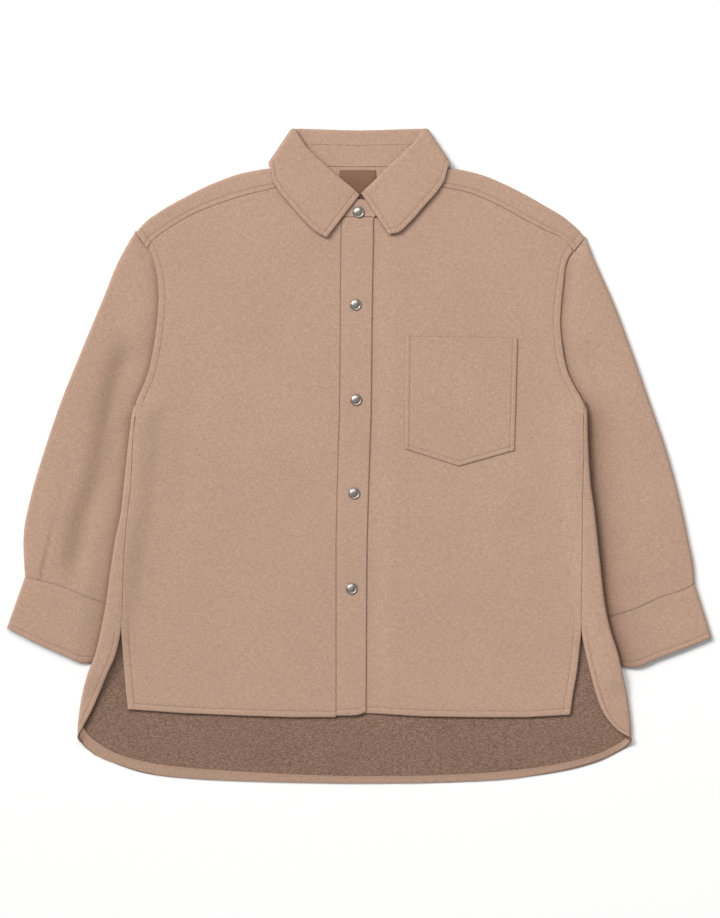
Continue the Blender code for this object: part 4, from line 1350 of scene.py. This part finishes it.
def pleat(plan):
    """A fold laid over at the right cuff: a step that fades up the sleeve."""
    away, grow = pleat_place(plan)
    step = smooth(away, 1.2, -1.2) * np.exp(np.minimum(away, 0.0) / 16.0)
    return PLEAT_HEIGHT * grow * (step - 0.35 * np.exp(-((away / 3.0) ** 2)))


def trough_place(plan, trough):
    """Distance outward from the middle of the sleeve's trough, and how much of it is left there."""
    away = plan[..., 0] - np.interp(-plan[..., 1], -trough["y"], trough["x"])
    return away, smooth(plan[..., 1], 150, 110) * smooth(plan[..., 1], -165, -115)


def hollow(side, away):
    """Depth of the trough: on the right a long dip, on the left a fall to the body's side."""
    if side == LEFT:
        return HOLLOW_DEPTH * np.exp(-((np.maximum(away, 0.0) / HOLLOW_WIDTH) ** 2))
    past = away + TROUGH_SHIFT
    return TROUGH_DEPTH * np.exp(-((past / np.where(past > 0, TROUGH_OUTER, TROUGH_INNER)) ** 2))


def shade_beside_body(grid, side):
    """Painted shade next to the body, which lies on the sleeve and shades it, and along the armhole seam; x is
    counted outward.
    """
    rows = BACK_SIDE_LEFT if side == LEFT else BACK_SIDE_RIGHT
    away = np.maximum(grid[..., 0] - np.interp(-grid[..., 1], -rows["y"], rows["x"]), 0.0)
    depth, width = (1.0, 15.0) if side == LEFT else (0.75, 6.0)
    below = depth * np.exp(-away / width) * smooth(grid[..., 1], 95, 30)
    rows = FRONT_SIDE_LEFT if side == LEFT else FRONT_SIDE_RIGHT
    rows = fine_table(rows)
    away = np.maximum(grid[..., 0] - np.interp(-grid[..., 1], -rows["y"], rows["x"]), 0.0)
    depth, width = (0.7, 5.0) if side == LEFT else (0.55, 4.0)
    armhole = smooth(grid[..., 1], SEAM_FOOT - 10, SEAM_FOOT + 15) * smooth(grid[..., 1], 255, 205)
    return np.maximum(below, depth * np.exp(-away / width) * armhole)


def sleeve_painted_shade(grid, side, trough):
    """Painted shade in the trough, along the pleat's fold and next to the body, on the upper face."""
    result = shade_beside_body(grid, side)
    if side == RIGHT:
        away, reach = trough_place(grid, trough)
        fold, grow = pleat_place(grid[..., :2] * (RIGHT, 1))
        result = result + 0.26 * reach * np.exp(-((away / 14.0) ** 2))
        result = result + 0.4 * grow * np.exp(-((fold / 1.6) ** 2))
    return result * (grid[..., 2] > 1.5)


def sleeve(name, side, armhole, outer, inner, cuff_seam, trough):
    edge = points(fine_table(armhole))
    upper_arm = offset(edge, 0.4)
    lower_arm = edge.copy()
    high = edge[:, 1] > 212
    straight = edge[[0, int(high.sum())]]
    lower_arm[high, 0] = np.interp(-edge[high, 1], -straight[:, 1], straight[:, 0])
    lower_arm = offset(lower_arm, 1.2)
    lower_arm[-1] = upper_arm[-1]
    fold_rows = points(fine_table(inner))[1:]
    upper_inner = np.vstack((upper_arm, fold_rows))
    lower_inner = np.vstack((lower_arm, fold_rows))
    joined = np.arange(len(upper_inner)) >= len(edge) - 1
    run = reach_of(upper_inner) / reach_of(upper_inner)[-1]
    outer_rows = along(points(outer), run)
    last_way = outer_rows[-1] - outer_rows[-2]
    last_way = last_way / np.linalg.norm(last_way)
    last_inner = upper_inner[-1] - upper_inner[-2]
    last_inner = last_inner / np.linalg.norm(last_inner)
    lap = np.linspace(0.0, 1.0, 5)[1:, None] * (CUFF_LAP + CUFF_GAP)
    squeeze = np.concatenate((np.zeros(len(run)), lap[:, 0]))
    outer_rows = np.vstack((outer_rows, outer_rows[-1] + lap * last_way))
    upper_inner = np.vstack((upper_inner, upper_inner[-1] + lap * last_inner))
    lower_inner = np.vstack((lower_inner, lower_inner[-1] + lap * last_inner))
    joined = np.concatenate((joined, [True] * len(lap)))
    inset = 1.7 * smooth(squeeze, 0.0, 1.6)[:, None]
    across = outer_rows - upper_inner
    across = across / np.linalg.norm(across, axis=1)[:, None]
    outer_rows = outer_rows - inset * across
    upper_inner = upper_inner + inset * across
    lower_inner = lower_inner + inset * across
    end_bow = bulge(points(cuff_seam))
    shares = np.concatenate((run, np.ones(len(lap))))
    open_rows = (~joined).astype(float)

    def bow(index, where):
        return end_bow(where) * smooth(shares[index], 0.7, 1.0)

    def top_height(plan, inside, index):
        high = sleeve_height(plan, inside)
        away, reach = trough_place(plan, trough)
        high = high - hollow(side, away) * reach
        signed = plan * (side, 1)
        clear = smooth(inside, 3.0, 20.0) * smooth(squeeze[index], 1.0, 0.0)
        high = high + creased(name, signed[:, 0], signed[:, 1]) * clear
        if side == RIGHT:
            high = high + pleat(signed) * clear
        lap_drop = 1.6 * smooth(squeeze[index], 0.0, 1.6)
        sink = 0.8 * open_rows[index] * smooth(inside, 5.0, 0.0)
        seam_valley = 0.5 * smooth(squeeze[index], -0.1, 0.1)
        high = np.maximum(high - lap_drop - sink - seam_valley, SLEEVE_LEAST)
        return high, np.full(len(plan), lap_drop)

    grid = pressed_tube(upper_inner, lower_inner, outer_rows, joined, bow, top_height)
    if open_rows.any():
        tuck_under(grid, int(open_rows.sum()))
    # Painted shade from the trough, the pleat and the body
    painted_shade = sleeve_painted_shade(grid, side, trough)
    grid[..., 0] *= side
    shell(name, grid, painted_shade, flip=side == LEFT, weld=True)


def tuck_under(grid, rows):
    """Run the upper armhole edge on under the body, so that nothing shows through the seam."""
    for index in range(rows):
        fade = smooth(index, rows, rows - 2)
        way = grid[index, 0, :2] - grid[index, 3, :2]
        way = way / np.linalg.norm(way)
        for column, share in ((0, 1.0), (1, 0.75), (2, 0.45), (3, 0.2)):
            grid[index, column, :2] += way * SLEEVE_TUCK * share * fade
            grid[index, column, 2] -= 0.5 * share * fade
            low = -1 - column
            grid[index, low, :2] += way * SLEEVE_TUCK * share * fade * smooth(index, rows - 8, rows - 3)


CUFF_STITCH = 6.0


def cuff(name, side, cuff_seam, cuff_end):
    start = points(cuff_seam)
    finish = points(cuff_end)
    way = finish[0] - start[0]
    depth = np.linalg.norm(way)
    start = start + CUFF_GAP * way / depth
    near = edge_steps(SEAM_ROLL)
    far = edge_steps(TURNED_ROLL, CUFF_STITCH)
    between = np.linspace(near[-1], depth - far[-1], 16)[1:-1]
    place = np.concatenate((near, between, (depth - far)[::-1]))
    down = (place / depth)[:, None]
    outer = start[0] + (finish[0] - start[0]) * down
    inner = start[-1] + (finish[-1] - start[-1]) * down
    start_bow = bulge(start)
    end_bow = bulge(finish)
    change = seamed(place) + turned(depth - place, CUFF_STITCH)

    def bow(index, where):
        share = down[index, 0]
        return start_bow(where) * (1 - share) ** 2 + end_bow(where) * share**2

    def top_height(plan, inside, index):
        high = sleeve_height(plan, inside) + change[index]
        return high, np.full(len(plan), max(0.0, -0.5 * change[index]))

    grid = pressed_tube(inner, inner, outer, [True] * len(down), bow, top_height)
    # Painted shade next to the body and at the cuff's sunk edges
    painted_shade = (shade_beside_body(grid, side) + sunk_shade(change)[:, None]) * (grid[..., 2] > 2.0)
    grid[..., 0] *= side
    middle = grid.shape[1] // 2
    sew(name, grid[-1 - STITCH_INDEX, 3 : middle - 2])
    shell(name, grid, painted_shade, flip=side == LEFT, weld=True)


# Collar
FRONT_WAY = np.array([-0.665, 0.747])
CORNER_WAY = np.array([-0.571, 0.821])
CORNER_OUT = np.array([0.95, 0.05])
CORNER_ROUND = 6.0
CORNER_STEPS = 20
ROLL_STEPS = 14
LEAF_STEPS = 24
LEAF_STITCH = 6.5


def unit(vector):
    return vector / np.linalg.norm(vector)


def collar_columns(rows, stand):
    """Columns from one front end round the corner to the back.

    Each holds the roll's centre, the leaf's edge, the seam, the stand's foot, the way up and the angle.
    """
    places = close_steps(points(rows, "edge_x", "edge_y"), FINE)
    fine = finer(rows, places)
    depth = gentle(COLLAR_DEPTH, places)
    foot = finer(stand, places)
    columns = []
    for index in range(len(places)):
        centre = np.array([fine["roll_x"][index], fine["roll_y"][index]]) - ROLL_RADIUS * FRONT_WAY
        edge = np.array([fine["edge_x"][index], fine["edge_y"][index]])
        low = np.array([foot["x"][index], foot["y"][index]])
        columns.append((centre, edge, centre - depth[index] * FRONT_WAY, low, FRONT_WAY, 0.0))
    corner = np.array([COLLAR_CORNER["roll_x"][0], COLLAR_CORNER["roll_y"][0]])
    centre = corner - ROLL_RADIUS * CORNER_WAY - LEAF_OUTER * CORNER_OUT
    edge = np.array([COLLAR_CORNER["edge_x"][0], COLLAR_CORNER["edge_y"][0]])
    edge = edge - LEAF_EDGE_TOP / 2 * CORNER_OUT
    low = np.array(STAND_CORNER)
    seam = centre + (low - centre) * LEAF_FALL / np.linalg.norm(low - centre)
    before = columns[-1]
    for share in np.linspace(0.0, 1.0, 6)[1:-1]:
        ends = zip(before[:5], (centre, edge, seam, low, CORNER_WAY))
        mixed = [first * (1 - share) + second * share for first, second in ends]
        columns.append((*mixed[:4], unit(mixed[4]), 0.0))
    down = unit(edge - centre)
    for angle in np.linspace(0.0, math.pi, CORNER_STEPS + 1):
        short = CORNER_ROUND * math.sin(min(angle, math.pi / 2)) ** 2
        columns.append((centre, edge - short * down, seam, low, CORNER_WAY, angle))
    corner_column = columns[-1]
    back_points = points(COLLAR_BACK, "roll_x", "roll_y")
    places = close_steps(back_points, FINE)
    back = finer(COLLAR_BACK, places)
    back_foot = finer(STAND_BACK, places)
    back_columns = []
    upward = np.array([0.0, 1.0])
    for index in range(len(places)):
        centre = np.array([back["roll_x"][index], back["roll_y"][index]]) - ROLL_RADIUS * upward
        edge = np.array([back["edge_x"][index], back["edge_y"][index]])
        low = np.array([back_foot["x"][index], back_foot["y"][index]])
        back_columns.append((centre, edge, centre - LEAF_FALL * upward, low, upward, math.pi))
    for share in np.linspace(0.0, 1.0, 5)[1:-1]:
        ends = zip(corner_column[:5], back_columns[0][:5])
        mixed = [first * (1 - share) + second * share for first, second in ends]
        columns.append((*mixed[:4], unit(mixed[4]), math.pi))
    return columns + back_columns


def leaf_column(centre, edge, seam, low, way, angle):
    """Points of one column: from the seam on the stand, round the roll, out to the leaf's edge."""
    mid = neck_mid(centre[1])
    path = [(seam, mid, NECK_HALF), ((seam + centre) / 2, mid, NECK_HALF)]
    for bend in np.linspace(0.0, math.pi, ROLL_STEPS + 1):
        away = NECK_HALF + ROLL_RADIUS * (1 - math.cos(bend))
        path.append((centre + way * ROLL_RADIUS * math.sin(bend), mid, away))
    for step in np.arange(1, LEAF_STEPS + 1) / LEAF_STEPS:
        ease = float(smooth(step, 0.0, 1.0))
        high = mid + LEAF_OUTER + (LEAF_EDGE_TOP - mid - LEAF_OUTER) * ease
        level = mid + (LEAF_EDGE_TOP / 2 - mid) * ease if angle > 0 else high / 2
        path.append((centre + (edge - centre) * step, level, high - level if angle == 0 else level))
    column = []
    for place, level, away in path:
        shifted = place + CORNER_OUT * away * math.sin(angle)
        column.append((shifted[0], shifted[1], level + away * math.cos(angle)))
    return np.array(column)


def stand_column(low, high, angle):
    """Outer face of the stand at one column, from the neckline to the seam with the leaf."""
    column = []
    for share in np.linspace(0.0, 1.0, 9):
        place = np.array(low) + (np.array(high) - np.array(low)) * share
        mid = neck_mid(place[1])
        away = STAND_OUTER * math.sin(angle)
        column.append((place[0] + away, place[1], mid + STAND_OUTER * math.cos(angle)))
    return np.array(column)


def both_sides(right, left):
    """Columns of the two sides, each from its front end to the middle of the back, which they share."""
    right = [column * (RIGHT, 1, 1) for column in right]
    return np.array(right + left[-2::-1])


def make_collar():
    right_columns = collar_columns(COLLAR_RIGHT, STAND_FRONT_RIGHT)
    left_columns = collar_columns(COLLAR_LEFT, STAND_FRONT_LEFT)
    leaf = both_sides(
        [leaf_column(*column) for column in right_columns],
        [leaf_column(*column) for column in left_columns],
    )
    steps = edge_steps(TURNED_ROLL, LEAF_STITCH)
    grid = respaced(leaf, edge_steps(SEAM_ROLL), steps, 2.5, 1, 3)
    front_end = respaced(grid, steps, steps, FINE, 0, 3)
    x, y, z, from_seam, from_edge, from_right, from_left = np.moveaxis(front_end, -1, 0)
    front_part = smooth(z, neck_mid(y) + 0.5, neck_mid(y) + 2.5)
    change = turned(from_edge, LEAF_STITCH)
    change = change + turned(from_right, LEAF_STITCH) + turned(from_left, LEAF_STITCH)
    z = z + front_part * (change + creased("collar_leaf", x, y))
    # Painted shadow at the leaf's front ends near its seam, in the throat, and painted shade at its sunk edges
    end = np.minimum(from_right, from_left)
    throat_shadow = smooth(end, 9.0, 3.0) * smooth(from_seam, 14.0, 8.0)
    painted_shade = np.maximum(sunk_shade(change) * front_part, 0.9 * throat_shadow)
    points3 = np.dstack((x, y, z))
    line = points3[:, -1 - STITCH_INDEX]
    inner = (from_right[:, -1 - STITCH_INDEX] > LEAF_STITCH - 0.5) & (
        from_left[:, -1 - STITCH_INDEX] > LEAF_STITCH - 0.5
    )
    for side in (RIGHT, LEFT):
        sew("collar_leaf", line[inner & (side * line[:, 0] > 0) & (line[:, 2] > 8.0)])
    for row in (STITCH_INDEX, -1 - STITCH_INDEX):
        line = points3[row]
        shown = (from_edge[row] > LEAF_STITCH - 0.5) & (front_part[row] > 0.9)
        sew("collar_leaf", line[shown])
    shell(
        "collar_leaf",
        points3,
        painted_shade,
        lining=wool["collar_leaf"],
        flip=True,
    )

    def stand_side(columns, skip):
        result = []
        for centre, edge, seam, low, way, angle in columns[skip:]:
            result.append(stand_column(low, seam - SEAM_GAP * way, angle))
        return result

    end_places = np.linspace(0.0, 1.0, 5)[:-1]
    lows = points(STAND_END, "x", "low")
    highs = points(STAND_END, "x", "high")
    right_stand = []
    first_low = np.array([right_columns[0][3][0], right_columns[0][3][1]])
    first_high = right_columns[0][2] - SEAM_GAP * right_columns[0][4]
    low_line = np.vstack((lows, first_low))
    high_line = np.vstack((highs, first_high))
    for share in end_places:
        low = [np.interp(share * 2, (0, 1, 2), axis) for axis in low_line.T]
        high = [np.interp(share * 2, (0, 1, 2), axis) for axis in high_line.T]
        right_stand.append(stand_column(low, high, 0.0))
    right_stand += stand_side(right_columns, 0)
    skip = next(index for index, column in enumerate(left_columns) if column[0][0] > 20)
    left_stand = [stand_column((15.5, 284.6), (15.0, 313.2), 0.0)] + stand_side(left_columns, skip)
    stand = both_sides(right_stand, left_stand)
    steps = edge_steps(SEAM_ROLL)
    grid = respaced(stand, steps, steps, 3.0, 1, 3)
    grid = respaced(grid, steps, PLAIN, FINE, 0, 3)
    x, y, z, from_foot, from_leaf, from_end, _ = np.moveaxis(grid, -1, 0)
    front_part = smooth(z, neck_mid(y) + 0.5, neck_mid(y) + 2.0)
    change = front_part * (seamed(from_foot) + seamed(from_end))
    points3 = np.dstack((x, y, z + change))
    # Painted shade at the stand's sunk seams
    shell("collar_stand", points3, sunk_shade(change), lining=wool["collar_stand"])


# Turned-up hem inside the tail, narrowing round both corners, from its outer to its inner edge
HEM_BAND = table(
    "x y inner_x inner_y",
    (-335.6, -330, -331.6, -325),
    (-334.2, -338, -327.5, -331.5),
    (-330.4, -345, -321.5, -338.5),
    (-324, -351.8, -312.5, -345.5),
    (-312, -360.4, -299, -353.5),
    (-288, -370, -284, -360.1),
    (-262, -378, -259.5, -366.5),
    (-232, -383.6, -231, -371.5),
    (-193, -387, -192, -375.5),
    (-143, -389.4, -142.5, -378.8),
    (-64, -391.6, -64, -382.8),
    (-4, -392.5, -4, -384.4),
    (56, -392.3, 56, -384.2),
    (145, -389.4, 144, -381),
    (184, -386.4, 182.5, -377.6),
    (224, -380.6, 221.5, -372.6),
    (264, -372, 260.5, -365),
    (292, -362.8, 288, -356.8),
    (309, -354.6, 304, -349.2),
    (319.6, -347.6, 314.6, -343),
    (323.4, -341.6, 319.6, -338.4),
)
HEM_SOFTEN = 9
HEM_OVER = 1.1
# Painted shade laid over the whole turned-up band
HEM_SHADE = 0.2


def height_over(piece, x, y):
    """Height of the piece's uppermost face at a place, in mm."""
    hit, place, _, _ = piece.ray_cast((x * MM, y * MM, 0.1), (0.0, 0.0, -1.0))
    return place[2] / MM if hit else CLOTH


def make_hem(back):
    rows = fine_table(HEM_BAND)
    outer = points(rows)
    inner = points(rows, "inner_x", "inner_y")
    across = np.linspace(0.0, HEM_OVER, 8)[:, None, None]
    plan = inner[None] * (1 - across) + outer[None] * across
    grid = respaced(plan, edge_steps(TURNED_ROLL), edge_steps(TURNED_ROLL), 1.5, 0)
    x, y, from_inner, from_outer = np.moveaxis(grid, -1, 0)
    under = back.evaluated_get(bpy.context.evaluated_depsgraph_get())
    rest = np.vectorize(lambda place_x, place_y: height_over(under, place_x, place_y))(x, y)
    soft = np.pad(rest, ((0, 0), (HEM_SOFTEN // 2, HEM_SOFTEN // 2)), mode="edge")
    rest = np.array([np.convolve(line, np.ones(HEM_SOFTEN) / HEM_SOFTEN, "valid") for line in soft])
    change = 0.4 * turned(from_inner) + 0.9 * turned(from_outer)
    z = rest + LAYER_GAP + TRIM_SHELL + change
    points3 = np.dstack((x, y, z))
    row = int(np.argmin(np.abs(from_inner[:, from_inner.shape[1] // 2] - 1.6)))
    sew("back_hem", points3[row, 12:-12])
    # Painted shade: the whole band, deeper along its sunk inner edge
    painted_shade = HEM_SHADE + sunk_shade(turned(from_inner)) * smooth(from_outer, 1.0, 4.0)
    shell("back_hem", points3, painted_shade, thickness=TRIM_SHELL, flip=True)


def make_label():
    across = np.linspace(LABEL[0], LABEL[1], 20)
    down = np.linspace(LABEL[3], LABEL[2], 14)
    plan = np.dstack(np.meshgrid(across, down))
    grid = respaced(plan, edge_steps(1.0), edge_steps(1.0), 2.5, 1)
    grid = respaced(grid, edge_steps(1.0), edge_steps(1.0), 2.5, 0)
    x, y, from_left, from_right, from_top, from_low = np.moveaxis(grid, -1, 0)
    z = yoke_rest(x, y) + CLOTH + LAYER_GAP + LABEL_THICK
    for distance in (from_left, from_right, from_low):
        z = z + 0.4 * edge_shape(distance, 1.0, 0.8)
    z = z - 0.3 * np.exp(-(((from_top - 3.0) / 1.0) ** 2))
    points3 = np.dstack((x, y, z))
    row = int(np.argmin(np.abs(from_top[:, 0] - 3.0)))
    sew("neck_label", points3[row, 3:-3])
    shell(
        "neck_label",
        points3,
        lining=label_weave,
        flip=True,
        thickness=TRIM_SHELL,
        outer=label_weave,
    )


# Press snaps: a low dome inside a rolled ring, turned about its own axis
SNAP_PROFILE = (
    (0.0, 2.4),
    (1.0, 2.37),
    (2.0, 2.27),
    (3.0, 2.1),
    (3.8, 1.9),
    (4.5, 1.66),
    (4.9, 1.46),
    (5.1, 1.4),
    (5.3, 1.5),
    (5.6, 1.72),
    (6.0, 1.8),
    (6.4, 1.7),
    (6.75, 1.35),
    (6.95, 0.85),
    (7.0, 0.4),
    (6.9, 0.0),
    (0.0, 0.0),
)
SNAP_SIDES = 64


def snap(index, x, y):
    name = f"snap_{index + 1}"
    base = float(placket_height(x, y)) + LAYER_GAP
    verts = [(x, y, base + SNAP_PROFILE[0][1])]
    faces = []
    for radius, height in SNAP_PROFILE[1:-1]:
        for side in range(SNAP_SIDES):
            angle = 2 * math.pi * side / SNAP_SIDES
            verts.append((x + radius * math.cos(angle), y + radius * math.sin(angle), base + height))
    verts.append((x, y, base))
    rings = len(SNAP_PROFILE) - 2
    for side in range(SNAP_SIDES):
        after = (side + 1) % SNAP_SIDES
        faces.append((0, 1 + side, 1 + after))
        for ring in range(rings - 1):
            high = 1 + ring * SNAP_SIDES
            low = high + SNAP_SIDES
            faces.append((high + side, low + side, low + after, high + after))
        low = 1 + (rings - 1) * SNAP_SIDES
        faces.append((low + side, len(verts) - 1, low + after))
    piece = mesh_piece(name + "_cap", verts, faces, [metal])
    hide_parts(name)


# Floor, light and camera
def make_stage():
    bpy.ops.mesh.primitive_plane_add(size=8.0, location=(0.0, 0.0, -0.0004))
    floor = bpy.context.object
    floor.name = "floor_white"
    material, tree, shader = material_nodes("floor_paper")
    shader.inputs["Base Color"].default_value = (0.97, 0.97, 0.97, 1.0)
    shader.inputs["Roughness"].default_value = 0.9
    shader.inputs["Specular IOR Level"].default_value = 0.1
    floor.data.materials.append(material)


def area_light(name, place, size, power, color=(1.0, 1.0, 1.0)):
    light = bpy.data.lights.new(name, "AREA")
    light.shape = "DISK"
    light.size = size
    light.energy = power
    light.color = color
    point_at_middle(bpy.data.objects.new(name, light), place)


def point_at_middle(lamp, place):
    aim = -np.array(place) / np.linalg.norm(place)
    lamp.location = place
    lamp.rotation_euler = (math.acos(-aim[2]), 0.0, math.atan2(-aim[0], aim[1]))
    bpy.context.scene.collection.objects.link(lamp)


def wide_light(name, place, strength, angle):
    """Even soft light from one side, as from a far window."""
    light = bpy.data.lights.new(name, "SUN")
    light.energy = strength
    light.angle = math.radians(angle)
    point_at_middle(bpy.data.objects.new(name, light), place)


PICTURE_HEIGHT = 918
PIXEL = 0.0012
VIEW_CENTRE = (0.0006, -0.0042)
CAMERA_HEIGHT = 6.0


def make_camera():
    camera = bpy.data.cameras.new("camera")
    camera.type = "PERSP"
    camera.sensor_width = 36.0
    camera.lens = 36.0 * CAMERA_HEIGHT / (PICTURE_HEIGHT * PIXEL)
    camera.clip_end = 50.0
    eye = bpy.data.objects.new("camera", camera)
    eye.location = (*VIEW_CENTRE, CAMERA_HEIGHT)
    bpy.context.scene.collection.objects.link(eye)
    bpy.context.scene.camera = eye


def make_world(far, near):
    """A pale room, a little darker behind the collar than toward the tail."""
    world = bpy.data.worlds.new("studio")
    world.use_nodes = True
    tree = world.node_tree
    way = tree.nodes.new("ShaderNodeSeparateXYZ")
    tree.links.new(tree.nodes.new("ShaderNodeTexCoord").outputs["Generated"], way.inputs["Vector"])
    strength = ramp(tree, way.outputs["Y"], -0.8, 0.8, near, far)
    room = tree.nodes["Background"]
    room.inputs["Color"].default_value = (1.0, 0.99, 0.98, 1.0)
    tree.links.new(strength, room.inputs["Strength"])
    bpy.context.scene.world = world


make_camera()
make_stage()
make_world(0.17, 0.55)
wide_light("key", (-4.2, 3.2, 5.0), 2.17, 26.0)
area_light("top", (-0.3, 2.4, 3.2), 1.6, 50.0)
bpy.context.scene.view_settings.view_transform = "Standard"

back_piece = make_back()
make_yoke()
front_panel("front_right", RIGHT, FRONT_SIDE_RIGHT, HEM_RIGHT, front_height)
front_panel("front_left", LEFT, FRONT_SIDE_LEFT, HEM_LEFT, overlap_height)
make_placket()
make_pocket()
sleeve(
    "sleeve_right", RIGHT, ARMHOLE_RIGHT, SLEEVE_OUTER_RIGHT, SLEEVE_INNER_RIGHT, CUFF_SEAM_RIGHT, TROUGH_RIGHT
)
sleeve("sleeve_left", LEFT, ARMHOLE_LEFT, SLEEVE_OUTER_LEFT, SLEEVE_INNER_LEFT, CUFF_SEAM_LEFT, TROUGH_LEFT)
cuff("cuff_right", RIGHT, CUFF_SEAM_RIGHT, CUFF_END_RIGHT)
cuff("cuff_left", LEFT, CUFF_SEAM_LEFT, CUFF_END_LEFT)
make_collar()
make_hem(back_piece)
make_label()
for number, (snap_x, snap_y) in enumerate(zip(SNAPS["x"], SNAPS["y"])):
    snap(number, snap_x, snap_y)
